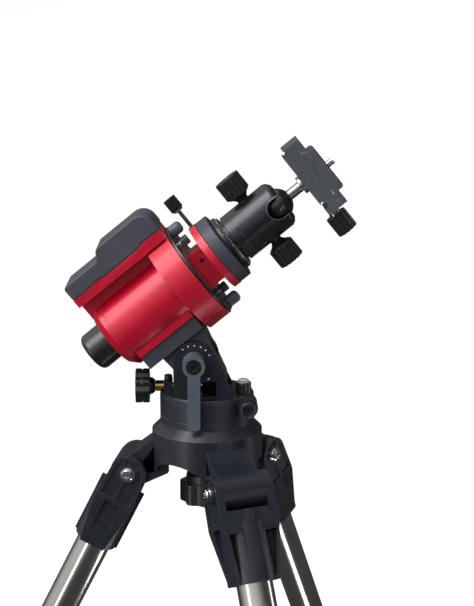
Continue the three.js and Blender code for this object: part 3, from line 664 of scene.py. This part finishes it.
def make_foot(number, place, body):
    r, groove = FOOT_R, FOOT_R - 0.8
    profile = [(0, -r)] + [(r * sin(a), -r * cos(a)) for a in (0.3, 0.6, 0.9, 1.2, 1.5)]
    profile += [(r, 2), (groove, 3), (groove, 4.5), (r, 5.5), (r, 12), (r - 1.5, 22), (0, 22)]
    made = at(lathe(profile, 80), 0, 0, -LEG_FOOT)
    piece(f"foot_rubber_{number}", made, place, body, rubber, [f"foot_{number}"], 0.6)


def make_leg(number, angle):
    place = leg_place(angle)
    body, lower = f"leg_{number}", f"lower_leg_{number}"
    make_casting(number, place, body)
    make_leg_bolt(number, place, body)
    upper = pipe(TUBE_R, 14.4, -LEG_CLAMP - 11.7, -21.3, 128)
    piece(f"upper_tube_steel_{number}", upper, place, body, tube_steel,
          [f"upper_tube_{number}"], 0.3)
    make_leg_clamp(number, place, body)
    make_leg_clamp_knob(number, place, f"leg_knob_{number}")
    tube = pipe(LOWER_R, 11.4, -LEG_FOOT + 22.3, -190)
    piece(f"lower_tube_steel_{number}", tube, place, lower, tube_steel,
          [f"lower_tube_{number}"], 0.3)
    make_foot(number, place, lower)


# ---- Wedge ----
def ear(y0, y1):
    """One side of the fork, round the pivot and down a line that touches the arc."""
    left = PIVOT.x - EAR_R
    reach = hypot(EAR_RIGHT - PIVOT.x, PIVOT.z)
    lean = atan2(-PIVOT.z, EAR_RIGHT - PIVOT.x) + acos(EAR_R / reach)
    side = [(left, -2)] + arc(PIVOT.x, PIVOT.z, EAR_R, 180, degrees(lean), 36)
    return sheet(side + [(EAR_RIGHT, 0), (EAR_RIGHT, -2)], y0, y1)


def make_base():
    groove, lip = BASE_R - 0.5, BASE_R - 0.8
    drum = turned([
        (BASE_R, -BASE_H), (BASE_R, -21.6), (groove, -21.2), (groove, -20.4), (BASE_R, -20),
        (BASE_R, -2.6), (lip, -2.2), (lip, -1), (BASE_R - 1.6, 0),
    ], 144)
    parts = [
        ear(-EAR_OUT, -EAR_IN),
        ear(EAR_IN, EAR_OUT),
        block(-38.5, -31, -9, 9, -1, 9.5),
        block(-27, -23, -9, 9, -1, 9.5),
        rod_y(8.8, -33.5, -12, BASE_KNOB_X, BASE_KNOB_Z, 64),
    ]
    solid = join(drum, *parts)
    swing = rod_y(38, -EAR_IN, EAR_IN, PIVOT.x, PIVOT.z, 96)
    tools = [
        common(swing, block(-4, 32, -EAR_IN, EAR_IN, -40, 1)),
        block(-22.5, -4, -7, 7, -2.5, 1),
        block(-7, 8, -EAR_OUT - 1, -EAR_IN + 1, 0.5, 14.5),
        rod_y(ALTITUDE_BORE, -60, 60, PIVOT.x, PIVOT.z, 48),
        rod_x(STEM_BORE, -60, -20, WORM_Z, 32),
        rod_x(5.3, -60, -38.6, WORM_Z, 48),
        rod(5.4, -BASE_H - 1, -BASE_H + 10, 48),
        rod_y(STEM_BORE, -40, -16, BASE_KNOB_X, BASE_KNOB_Z, 32),
    ]
    piece("azimuth_base_casting", cut(solid, *tools), WEDGE, "base", casting,
          ["azimuth_base"], 0.7, 3)


def make_scale():
    """Latitude dots round the top of the front ear, and its index dot."""
    dots, ring = [], 15.2
    for i in range(6):
        angle = radians(129 - 20.7 * i)
        dots.append((PIVOT.x + ring * cos(angle), PIVOT.z + ring * sin(angle), 0.62))
    dots.append((1.3, 17.3, 0.8))
    discs = [rod_y(r, -EAR_OUT - 0.12, -EAR_OUT + 0.3, x, z, 24) for x, z, r in dots]
    piece("latitude_dots", merged(*discs), WEDGE, "base", mark_paint, bevel=0)


def make_wedge_details():
    cap = turned([(3.6, 9.7), (3.6, 13.6), (2.9, 14.3)], 48)
    piece("worm_seat_cap", at(cap, -34.7, 0, 0), WEDGE, "base", black_plastic,
          bevel=0.3)
    grip = turned([(4.6, -38.8), (5, -41), (6.6, -41.5), (7.4, -40.5), (7.4, -33.8)], 80)
    notches = [moved(at(rod(0.7, -42, -33, 16), 7.8, 0, 0), turn(18 * i, "Z")) for i in range(20)]
    grip = cut(grip, hexagon(2.6, -39.5, -37), *notches)
    knob = join(grip, rod(3, -34, -17, 32))
    knob = at(along_y(knob), BASE_KNOB_X, 0, BASE_KNOB_Z)
    piece("azimuth_knob_grip", knob, WEDGE, "azimuth_knob", casting,
          ["azimuth_knob"], 0.3)
    cup = turned([(7, 0.3), (7, 9.5), (6.4, 10.2), (5.5, 10.2), (5.5, 8.6)], 80)
    piece("level_cup", at(cup, LEVEL_X, LEVEL_Y, 0), WEDGE, "base", black_plastic,
          ["bubble_level"], 0.3)
    dome = lathe([(0, 8.7), (5.4, 8.7), (5.4, 10.8), (4.6, 12.3), (2.8, 13), (0, 13.2)], 64)
    piece("level_dome", at(dome, LEVEL_X, LEVEL_Y, 0), WEDGE, "base", dome_plastic,
          bevel=0.2)


def make_lever():
    collar = along_y(rod(9.8, -47, -EAR_OUT - GAP, 80))
    tip = arc(2.5, -54, 3, 0, -90, 6) + arc(-2.5, -54, 3, -90, -180, 6)
    arm = sheet([(5.5, 0)] + tip + [(-5.5, 0)], -47, -42.7)
    ridge = along_y(pipe(9.8, 8.1, -47.0, -46.2, 80))
    made = cut(
        join(collar, arm), along_y(rod(ALTITUDE_BORE, -50, 0, 48)), along_y(rod(6.8, -48, -43))
    )
    made = at(join(made, ridge), PIVOT.x, 0, PIVOT.z)
    piece("lock_lever_casting", made, WEDGE, "lever", lever_paint, ["lock_lever"], 0.6,
          3)
    head = along_y(rod(5.6, -47.4, -43.3))
    stem = along_y(rod(5, -44, 37, 48))
    nut = along_y(hexagon(9, 29.3, 35))
    bolt = cut(join(stem, head, nut), along_y(hexagon(3.2, -48, -44.4)))
    piece("altitude_bolt_steel", at(bolt, PIVOT.x, 0, PIVOT.z), WEDGE, "base", black_metal,
          ["altitude_bolt"], 0.4)


def make_altitude_knob():
    grip = slab(lobes(15.6, 9, 2.2, 1.6), -64, -51.5)
    grip = join(grip, turned([(8.2, -52), (7.4, -49), (5.6, -46.6)], 64))
    waist = pipe(20, 14.6, -58.6, -57.4)
    made = cut(grip, waist, rod(2.8, -56, -40, 32), rod(8.5, -65, -62.8))
    made = at(along_x(made), 0, 0, WORM_Z)
    piece("altitude_knob_grip", made, WEDGE, "altitude_screw", black_plastic,
          ["altitude_knob"], 0.9, 3)
    stud = join(rod(4.9, -46.3, -38.8), rod(2.5, -55, -43, 32))
    piece("altitude_stud_brass", at(along_x(stud), 0, 0, WORM_Z), WEDGE, "altitude_screw", brass,
          ["altitude_worm"])
    profile = [(0, -39), (3, -39), (3, -21.8)]
    root, tip, pitch = 3.6, 5, 2.1
    for i in range(8):
        z = -21.6 + pitch * i
        profile += [(root, z), (tip, z + 0.6), (tip, z + 1.1), (root, z + 1.7)]
    profile += [(3, -4.5), (0, -4.5)]
    worm = at(along_x(lathe(profile, 64)), 0, 0, WORM_Z)
    piece("altitude_worm_steel", worm, WEDGE, "altitude_screw", steel, bevel=0.15)


def make_bracket():
    """The saddle under the tracker, with cheeks that meet at the altitude pivot (px, pz)."""
    x0, x1, half, z0, z1 = SADDLE
    px, pz = AXIS_ABOVE_PIVOT, -FRONT_AHEAD_OF_PIVOT
    width = EAR_IN - GAP
    side = [(x1 - 1, -72), (54, -71), (px + 8, pz - 14)]
    side += arc(px, pz, 16, degrees(-0.9), degrees(0.5), 18)
    side += [(px + 10, -34), (x1 - 1, z1 + 0.2)]
    cheeks = cut(sheet(side, -width, width), block(x1 + 6, 110, 7 - width, width - 7, -90, -20))
    apron = sheet(
        [(x1 - 1, z1), (px + 33, pz + 12), (px + 32, pz + 8), (x1 - 1, z1 - 6)], -width, width
    )
    hub = rod_y(12, -width, width, px, pz, 80)
    wheel_r, tooth_deep, count = PIVOT.z - WORM_Z - 5.5, 0.9, 60
    teeth = []
    for i in range(count * 2):
        r = wheel_r - (tooth_deep if i % 2 else 0)
        a = pi * i / count
        teeth.append((r * cos(a), r * sin(a)))
    wheel = at(sheet(teeth, -4, 4), px, 0, pz)
    sector = cut(wheel, block(px - 40, px - 6, -10, 10, pz - 20, pz + 20))
    neck = block(x1 - 2, px, -4, 4, pz - 11, pz + 11)
    saddle = block(x0, x1, -half, half, z0, z1)
    made = join(saddle, cheeks, apron, hub, neck)
    made = cut(made, rod_y(ALTITUDE_BORE, -60, 60, px, pz, 48))
    piece("tilt_bracket_casting", made, TRACKER, "tilt", charcoal, ["tilt_bracket"],
          0.9, 3)
    room = [rod_y(11.5, -60, 60, px, pz, 48), block(x1 - 2, px, -5, 5, pz - 11, pz + 11)]
    sector = cut(sector, *room)
    piece("altitude_sector", sector, TRACKER, "tilt", black_metal, bevel=0.15)


# ---- Tracker ----
def rail_rim(above):
    """The (x, z) points of the rail's stepped top edge, from front to rear. Up is -X."""
    front, step, rear = -51.8, -50.8, -50.2
    rim = [
        (front, RAIL_FRONT), (front, -22), (RAIL_RIM, -24), (RAIL_RIM, -65), (step, -67),
        (step, -79), (rear, -81), (rear, -BODY_LONG),
    ]
    return [(x - above, z) for x, z in rim]


def make_housing():
    saddle_z0, saddle_z1 = SADDLE[3:]
    rear, chamfer, groove = -BODY_LONG, 6.3, BODY_R - 0.6
    barrel = turned([
        (BODY_R - chamfer, rear), (BODY_R, rear + chamfer), (BODY_R, -86.8), (groove, -86.6),
        (groove, -86), (BODY_R, -85.8), (BODY_R, -10),
    ], 160)
    flange = turned([(FLANGE_R, -FLANGE_DEPTH), (FLANGE_R, 0)], 160)
    side = [(RAIL_LOW, rear), (RAIL_LOW, RAIL_FRONT), (RAIL_RIM, RAIL_FRONT), *rail_rim(0)]
    rail = sheet(side, -RAIL_HALF, RAIL_HALF)
    web = block(RAIL_LOW - 1, -BODY_BORE, -WEB_HALF, WEB_HALF, rear, 2 - FLANGE_DEPTH)
    lip_face = 25.7
    lip = block(20, lip_face, -28, 28, saddle_z0, saddle_z1)
    solid = join(barrel, flange, rail, web, lip)
    tools = [
        block(lip_face, 60, -60, 60, saddle_z0 - GAP, -FLANGE_DEPTH - 0.6),
        rod(FLANGE_R - 3.8, 2.4 - FLANGE_DEPTH, 1, 128),
        rod(BODY_BORE, rear - 1, 1, 96),
        block(RAIL_TOP - 5, -15, -5, 5, -40, -30),
        block(-60, RAIL_TOP, WALL - RAIL_HALF, RAIL_HALF - WALL, rear + WALL, -FLANGE_DEPTH - WALL),
    ]
    piece("tracker_shell", cut(solid, *tools), TRACKER, "tilt", red,
          ["tracker_housing"], 0.8, 3)


def cover_shape(inset):
    """The cover's outside, or with an inset the room inside it, which is open below."""
    rear, top, low, step = -BODY_LONG + inset, BOX_TOP + inset, BOX_LOW + inset, BOX_STEP
    side = arc(low + 3, rear + 3, 3, 270, 180, 6)
    side += [
        (low, step - 3.5 + inset), (low - 1.5, step - 1 + inset), (top + 1.5, step + 2.5 + inset),
        (top, step + 5 + inset),
    ]
    side += arc(top + 13, -13 - inset, 13, 180, 90, 14)
    if inset:
        side += [(-44, -inset), (-44, rear)]
    else:
        foot = rail_rim(GAP)
        side += [(foot[0][0], 0), *foot]
    return sheet(side, -BOX_HALF + inset, BOX_HALF - inset)


def make_cover():
    shell = cut(cover_shape(0), cover_shape(WALL))
    piece("electronics_cover_shell", shell, TRACKER, "tilt", cover_plastic,
          ["electronics_cover"], 1.5, 4, 24)
    board = block(-66, -64.4, -19, 19, -54, -26)
    chip_places = ((-8, -44, 4), (7, -40, 3), (-3, -33, 2.2))
    chips = [block(-67.8, -66, y - w, y + w, z - w, z + w) for y, z, w in chip_places]
    sockets = [block(-69.4, -66, y - 3, y + 3, -52, -48.5) for y in (-13, -4, 5, 13)]
    board = merged(board, *chips, *sockets)
    piece("circuit_board", board, TRACKER, "tilt", board_green, bevel=0.2)


def make_front():
    ring = pipe(46, 32, GAP, 2.6, 144)
    holes = [at(rod(2.6, -5, 5, 32), x, 0, 0) for x in (-FLANGE_KNOB_X, FLANGE_KNOB_X)]
    ring = cut(ring, *holes)
    piece("front_plate_black", ring, TRACKER, "tilt", black_metal,
          ["front_plate"], 0.4)
    for name, x in (("top", -FLANGE_KNOB_X), ("bottom", FLANGE_KNOB_X)):
        cap = lathe(
            [(0, 2.9), (5.5, 2.9), (5.5, 11), (5.2, 12.4), (4.2, 13.6), (2.6, 14.3), (0, 14.5)], 64
        )
        made = at(join(cap, rod(2.2, -4, 4, 32)), x, 0, 0)
        piece(f"flange_knob_grip_{name}", made, TRACKER, f"flange_knob_{name}", grey_plastic,
              [f"flange_knob_{name}"], 0.5, 3)
    for name, x in (("top", -ROTOR_SCREW_X), ("bottom", ROTOR_SCREW_X)):
        flutes = [moved(at(rod(0.5, 4.5, 14, 12), 4.5, 0, 0), turn(24 * i, "Z")) for i in range(15)]
        head = cut(rod(4.4, 4.2, 11.4), *flutes, hexagon(1.9, 9, 12))
        neck = join(rod(3.1, 2.9, 4.6, 48), rod(1.8, -0.6, 3.4, 24))
        piece(f"rotor_screw_head_{name}", at(head, x, 0, 0), TRACKER, f"rotor_screw_{name}",
              black_plastic, [f"rotor_screw_{name}"], 0.4)
        piece(f"rotor_screw_stem_{name}", at(neck, x, 0, 0), TRACKER, f"rotor_screw_{name}", steel,
              bevel=0.2)


def make_scope():
    tube = lathe([
        (8.4, 0), (10.2, 0), (10.2, -96), (12, -96), (12, -98.6), (15.8, -98.6), (15.8, -110),
        (8.4, -110),
    ])
    piece("scope_tube_black", tube, TRACKER, "tilt", black_metal, ["scope_tube"],
          0.4)
    front = -BODY_LONG - GAP
    rear = front - 23.7
    r, inside, rounded, floor = 18, 16.4, 5, rear + 3.5
    cap = [(0, rear), (13, rear)]
    cap += [(13 + rounded * sin(a), rear + rounded - rounded * cos(a)) for a in (0.4, 0.8, 1.2)]
    cap += [
        (r, rear + rounded), (r, front - 1.2), (17.6, front - 0.8), (17.6, front), (inside, front),
        (inside, floor), (0, floor),
    ]
    piece("scope_cap_black", lathe(cap, 128), TRACKER, "cap", black_plastic,
          ["scope_cap"], 0.4)


def make_block():
    """The red mounting block on the turning plate, and its long screw."""
    neck = block(-16, 18, -19, 19, 2.9, RING_Z0 + 0.5)
    ring = turned([(RING_R, RING_Z0), (RING_R, RING_Z1)], 144)
    middle = (RING_Z0 + RING_Z1) / 2
    tools = [
        rod(14, RING_Z0 + 1.2, RING_Z1 + 1, 96),
        rod(8.4, 0, 30),
        rod_x(2.1, -40, -10, middle, 32),
        rod_y(2.2, -25, -10, -6, 10.5, 32),
        block(11.5, 30, -12, 12, 1, RING_Z0 - 2.5),
    ]
    made = cut(join(neck, ring), *tools)
    piece("mount_block_red", made, TRACKER, "rotor", red, ["mount_block"], 0.7, 3)
    place = TRACKER @ shift(0, 0, middle) @ turn(-90, "Y")
    shoulder = turned([(3.6, 50.4), (4.8, 51.2), (4.8, 52.2)], 48)
    stem = join(rod(1.75, 15.4, 52, 32), shoulder)
    piece("block_screw_stem", stem, place, "block_screw", stem_steel, ["block_screw"], 0.3)
    head = cut(slab(lobes(6, 22, 0.7, 1.0, 8), 52.4, 64.6), rod(4, 64, 66, 48))
    piece("block_screw_head", head, place, "block_screw", black_metal, bevel=0.3)


def make_adapter():
    seat = RING_Z1 + GAP
    disc = turned([(13.7, 19.5), (13.7, seat), (32.5, seat), (32.5, 35), (24, 35), (24, 36.2)], 144)
    piece("adapter_disc_grey", disc, TRACKER, "rotor", charcoal, ["adapter_disc"], 0.8,
          3)
    pan = turned([(26.5, 36.5), (26.5, 39.1), (24.3, 41.5), (20, 41.5), (20, 43.2)], 144)
    piece("pan_base_ring", pan, TRACKER, "rotor", black_metal, ["pan_base"], 0.3)
    marks = []
    on_bevel = shift_mm(0, -24.6, 41.1) @ turn(47.5, "X")
    for i in range(72):
        long = 2.2 if i % 6 == 0 else 1.3
        mark = moved(block(-0.17, 0.17, -long, 0, 0, 0.12), on_bevel)
        marks.append(moved(mark, turn(5 * i, "Z")))
    piece("pan_graduations", merged(*marks), TRACKER, "rotor", mark_paint,
          bevel=0)


# ---- Ball head ----
def make_case():
    groove = CASE_R - 0.4
    outer = turned([
        (CASE_R - 0.5, CASE_Z0), (CASE_R, CASE_Z0 + 0.5), (CASE_R, 51.2), (groove, 51.5),
        (groove, 52.1), (CASE_R, 52.4), (CASE_R, CASE_Z1 - 6), (CASE_R - 1.3, CASE_Z1 - 3),
        (CASE_R - 3.4, CASE_Z1 - 1.2), (CASE_R - 5.2, CASE_Z1),
    ], 144)
    bosses = [rod_x(5.6, side * 11 - 11.8, side * 11 + 11.8, KNOB_Z, 64) for side in (-1, 1)]
    bore = turned([
        (13.2, CASE_Z1 - 36), (13.2, 79), (15.6, 83), (16.2, BALL_Z), (15.4, 95),
        (14.6, CASE_Z1 + 1),
    ])
    notch = join(
        rod_y(NOTCH_R, -40, 0, 0, BALL_Z, 96), block(-NOTCH_R, NOTCH_R, -40, 0, BALL_Z, CASE_Z1 + 5)
    )
    stem_bore = rod_x(STEM_BORE, -40, 40, KNOB_Z, 32)
    made = cut(join(outer, *bosses), bore, notch, stem_bore)
    piece("ball_case_black", made, TRACKER, "case", black_metal, ["ball_case"],
          0.7, 3)


def make_notch_lip():
    """The bright machined edge round the drop notch, on the case's curved front."""
    outer, top, front, deep = 9.9, CASE_Z1 - 1.2, CASE_R + 0.05, 0.9
    inner = 9.45 / outer
    path = [(-outer, top), (-outer, BALL_Z)] + arc(0, BALL_Z, outer, 180, 360, 32) + [(outer, top)]
    bm = bmesh.new()
    rings = []
    for x, z in path:
        cx = x * inner
        cz = BALL_Z + (z - BALL_Z) * inner if z < BALL_Z else z
        rings.append([
            bm.verts.new((x, -sqrt(front**2 - x**2), z)),
            bm.verts.new((cx, -sqrt(front**2 - cx**2), cz)),
            bm.verts.new((cx, deep - sqrt(front**2 - cx**2), cz)),
            bm.verts.new((x, deep - sqrt(front**2 - x**2), z)),
        ])
    for first, second in zip(rings, rings[1:]):
        for i in range(4):
            bm.faces.new((first[i], first[(i + 1) % 4], second[(i + 1) % 4], second[i]))
    bm.faces.new(rings[0])
    bm.faces.new(rings[-1])
    piece("drop_notch_edge", from_bmesh(bm), TRACKER, "case", grey_metal, bevel=0)


def make_ball_knobs():
    for name, side in (("tension", 1), ("lock", -1)):
        place = TRACKER @ shift(0, 0, KNOB_Z) @ turn(90 * side, "Y")
        grip = slab(lobes(12, 14, 1.2, 1.8, 12), 29.5, 46.5)
        grip = cut(grip, rod(6.5, 45.9, 48, 48))
        piece(f"{name}_knob_grip", grip, place, f"{name}_knob", black_plastic,
              [f"{name}_knob"], 0.9, 3)
        skirt = turned(
            [(3, 16), (3, 22.9), (5, 22.9), (5.4, 24.4), (7.6, 27), (10.4, 28.6), (10.4, 29.3)], 80
        )
        piece(f"{name}_knob_skirt", skirt, place, f"{name}_knob", black_metal,
              bevel=0.25)


def make_stem():
    seat, stem_r, ball_top = CLAMP_Z0 - GAP, 4.8, 104.2
    angles = [radians(-90 + i * 5) for i in range(1, 33)]
    profile = [(BALL_R * cos(a), BALL_Z + BALL_R * sin(a)) for a in angles]
    profile = [(0, BALL_Z - BALL_R)] + [p for p in profile if p[0] > stem_r]
    ball = lathe(profile + [(stem_r, ball_top), (0, ball_top)], 128)
    piece("ball_black", ball, TRACKER, "stem", black_gloss, ["ball_stem"], bevel=0)
    stem = turned([
        (stem_r, 104.3), (stem_r, seat - 3.4), (8.5, seat - 3), (8.5, seat), (3, seat),
        (3, seat + 6),
    ], 80)
    piece("ball_stem_polished", stem, TRACKER, "stem", stem_steel, bevel=0.4)


# ---- Clamp and plate ----
def dovetail(grow, z0, z1):
    """The plate's section along Y. Grown, it is the tool that leaves the clamp's seat for it."""
    foot, top, half = 24.3 + grow, 21 + grow, 19 + grow * 20
    right = [(foot, z0), (foot, z0 + 1.2), (top, z0 + 4.6), (top, z1)]
    return sheet(right + [(-x, z) for x, z in reversed(right)], -half, half)


def make_clamp():
    half = CLAMP_HALF
    bed = block(CLAMP_X0, CLAMP_X1, -half, half, CLAMP_Z0, CLAMP_Z1)
    jaw_face = 21.6
    jaw = block(CLAMP_X0, -jaw_face, -half, half, CLAMP_Z0, JAW_TOP)
    chamfer = [
        moved(block(-6, 6, -40, 40, -3, 3), shift_mm(x, 0, CLAMP_Z0) @ turn(a, "Y"))
        for x, a in ((CLAMP_X0 + 1, -45), (CLAMP_X1 - 1, 45))
    ]
    tongue = block(-20, 20, -12, 12, CLAMP_Z1 - 1, 135.9)
    made = cut(
        join(bed, jaw), dovetail(GAP, DOVETAIL_BED, 150), rod(STEM_BORE, 119, 129, 32),
        rod_x(JAW_SCREW_BORE, 0, 40, JAW_SCREW_Z, 32), *chamfer,
    )
    made = join(made, tongue)
    piece("clamp_body_grey", made, TRACKER, "clamp", grey_metal, ["clamp_body"],
          0.7, 3)
    x = CLAMP_X1 + GAP
    moving_jaw = join(
        block(x, x + 6, -half, half, CLAMP_Z0 + 0.5, JAW_TOP),
        block(jaw_face, x + 1, -half, half, 135.8, JAW_TOP),
    )
    made = cut(
        moving_jaw, dovetail(GAP, DOVETAIL_BED, 150), rod_x(JAW_SCREW_BORE, 0, 60, JAW_SCREW_Z, 32)
    )
    piece("clamp_jaw_grey", made, TRACKER, "jaw", grey_metal, ["clamp_jaw"], 0.7,
          3)
    place = TRACKER @ shift(0, 0, JAW_SCREW_Z) @ turn(90, "Y")
    grip = cut(slab(lobes(9.75, 12, 1.0, 1.8, 12), 38.5, 57), rod(5, 56.2, 58, 48))
    piece("clamp_knob_grip", grip, place, "jaw_knob", black_plastic,
          ["clamp_knob"], 0.8, 3)
    stem = turned([(2, 8), (2, x + 6.3), (4.4, x + 6.3), (4.6, 35.6), (6.4, 38.3)], 64)
    piece("clamp_knob_stem", stem, place, "jaw_knob", chrome, bevel=0.2)


def make_plate():
    plate = cut(dovetail(0, PLATE_LOW, PLATE_TOP), rod(9, 135, 140), rod(3.6, PLATE_LOW, 148, 48))
    grooves = [block(-22, 22, y - 0.5, y + 0.5, PLATE_TOP - 0.6, 147) for y in (-15, 15)]
    plate = cut(plate, *grooves)
    piece("camera_plate_grey", plate, TRACKER, "plate", grey_metal,
          ["camera_plate"])
    pad = cut(block(-20.4, 20.4, -14, 14, PLATE_TOP + 0.05, 147), rod(3.9, 145, 148, 48))
    piece("plate_pad", pad, TRACKER, "plate", rubber, bevel=0.3)
    screw = join(rod(8.4, 136.5, 139.6, 80), rod(3.1, 139, 153.5, 48))
    slot = block(-9, 9, -0.8, 0.8, PLATE_LOW, 137.7)
    pitch = 1.27
    threads = [pipe(4, 2.85, 147.6 + pitch * i, 148.0 + pitch * i, 48) for i in range(4)]
    screw = cut(screw, slot, *threads)
    piece("camera_screw_steel", screw, TRACKER, "plate_screw", chrome, ["camera_screw"],
          0.25)


# ---- Carried-over inner nodes ----
INNER = {
    "battery_pack": battery_wrap,
    "worm_wheel": inner_brass,
    "motor": inner_black,
    **dict.fromkeys(("ra_shaft", "worm", "bearing_front", "bearing_rear"), inner_steel),
}


def finish_inner():
    """Gives the CAD's own inner nodes their materials."""
    for node, look in INNER.items():
        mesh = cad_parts[node].data
        mesh.materials.clear()
        mesh.materials.append(look)


# ---- Making everything ----
make_hub()
make_hub_knob()
for index, leg_angle in enumerate(LEG_ANGLES):
    make_leg(index + 1, leg_angle)
make_base()
make_scale()
make_wedge_details()
make_lever()
make_altitude_knob()
make_bracket()
make_housing()
make_cover()
make_front()
make_block()
make_adapter()
make_case()
make_notch_lip()
make_ball_knobs()
make_stem()
make_clamp()
make_plate()
make_scope()
finish_inner()


# ---- Stage ----
def stage_material():
    made = bpy.data.materials.new("studio_floor")
    made.use_nodes = True
    tree = made.node_tree
    shader = tree.nodes["Principled BSDF"]
    noise = add_node(tree, "TexNoise", {"Scale": 3})
    ramp = add_node(tree, "MapRange", {"To Min": 0.55, "To Max": 0.65})
    tree.links.new(noise.outputs["Fac"], ramp.inputs["Value"])
    tree.links.new(ramp.outputs["Result"], shader.inputs["Roughness"])
    set_values(shader, {
        "Base Color": (0.62, 0.62, 0.62, 1),
        "Emission Color": (1, 1, 1, 1),
        "Emission Strength": 0.5,
    })
    return made


def make_floor():
    """A pale floor that curves up into a plain backdrop, in metres. It doesn't tint or shade the
    object."""
    angles = [radians(7.5 * i) for i in range(13)]
    curve = [(6 + 3 * sin(a), 3 - 3 * cos(a)) for a in angles]
    bowl = lathe([(0, 0), (3, 0)] + curve + [(9, 6), (6, 9), (0, 9.5)], 96)
    moved(bowl, shift(0, 0, -0.5))
    bowl.data.shade_smooth()
    bowl.name = "studio_floor"
    bowl.data.materials.append(stage_material())
    bowl.visible_diffuse = False
    bowl.visible_glossy = False
    bowl.visible_shadow = False


def area_light(name, place, aim, size, power, along=(0, 0, 1)):
    """A soft rectangle of light. The second of its sides runs along the given direction."""
    data = bpy.data.lights.new(name, "AREA")
    data.shape = "RECTANGLE"
    data.size, data.size_y = size
    data.energy = power
    lamp = bpy.data.objects.new(name, data)
    lamp.location = place
    away = (place - aim).normalized()
    up = Vector(along)
    up = (up - up.dot(away) * away).normalized()
    lamp.rotation_mode = "QUATERNION"
    lamp.rotation_quaternion = Matrix((up.cross(away), up, away)).transposed().to_quaternion()
    bpy.context.scene.collection.objects.link(lamp)


def make_camera():
    """The photo's viewpoint. Its distance is in metres."""
    azimuth, elevation = radians(-1.6), radians(11.62)
    distance, target = 1.248, ORIGIN + Vector((27.1, 0, 79.4)) * MM
    back = Vector((
        sin(azimuth) * cos(elevation),
        -cos(azimuth) * cos(elevation),
        sin(elevation),
    ))
    data = bpy.data.cameras.new("camera")
    data.sensor_width = 36
    data.lens = 83.2
    camera = bpy.data.objects.new("camera", data)
    camera.location = target + back * distance
    camera.rotation_mode = "QUATERNION"
    camera.rotation_quaternion = (-back).to_track_quat("-Z", "Y")
    bpy.context.scene.collection.objects.link(camera)
    bpy.context.scene.camera = camera


def make_world():
    """Soft light that is brightest above and to the left, and dimmer in reflections."""
    world = bpy.data.worlds.new("studio")
    world.use_nodes = True
    tree = world.node_tree
    link = tree.links.new
    sky = tree.nodes["Background"]
    set_values(sky, {"Color": (1, 1, 1, 1)})
    where = add_node(tree, "TexCoord")
    brightest = Vector((-0.58, -0.22, 0.78)).normalized()
    toward = add_node(tree, "VectorMath", {1: brightest}, operation="DOT_PRODUCT")
    link(where.outputs["Generated"], toward.inputs[0])
    values = {"From Min": 0.0, "From Max": 0.95, "To Min": 0.1, "To Max": 1.45}
    level = add_node(tree, "MapRange", values, interpolation_type="SMOOTHSTEP")
    link(toward.outputs["Value"], level.inputs["Value"])
    rays = add_node(tree, "LightPath")
    dim = add_node(tree, "MapRange", {"To Min": 1.0, "To Max": 0.6})
    link(rays.outputs["Is Glossy Ray"], dim.inputs["Value"])
    strength = add_node(tree, "Math", operation="MULTIPLY")
    link(level.outputs["Result"], strength.inputs[0])
    link(dim.outputs["Result"], strength.inputs[1])
    link(strength.outputs["Value"], sky.inputs["Strength"])
    bpy.context.scene.world = world
    bpy.context.scene.view_settings.view_transform = "Standard"


make_floor()
make_world()
HEAD = ORIGIN + Vector((0, 0, 0.08))
LEGS = HEAD - Vector((0, 0, 0.25))
# Name, place from the head, aim, two sides and power, in metres and watts.
LIGHTS = (
    ("key", (-0.9, -0.35, 1.85), HEAD, (0.9, 0.9), 11),
    ("softbox", (-1.34, -0.86, 1.2), HEAD, (1.2, 1.2), 17),
    ("left_strip", (-1.4, -1.2, -0.2), LEGS, (0.3, 1.5), 3.6),
    ("front_strip", (0.9, -1.7, -0.6), LEGS, (0.12, 0.9), 1.0),
    ("right_strip", (1.5, 0.2, 0.1), LEGS, (0.3, 1.5), 3.2),
    ("side_strip", (1.4, -1.4, -0.3), LEGS, (0.1, 1.4), 1.6),
)
for light_name, from_head, aimed_at, light_size, watts in LIGHTS:
    area_light(light_name, HEAD + Vector(from_head), aimed_at, light_size, watts)
# The low strip puts the narrow highlight on the back right leg's tube.
leg_axis = leg_place(LEG_ANGLES[2]).to_3x3() @ Vector((0, 0, -1))
back_tube = leg_place(LEG_ANGLES[2]) @ Vector((0, 0, -0.17))
area_light(
    "low_strip", back_tube + Vector((0.13, -0.21, -0.246)), back_tube, (0.09, 0.4), 0.6, leg_axis
)
make_camera()
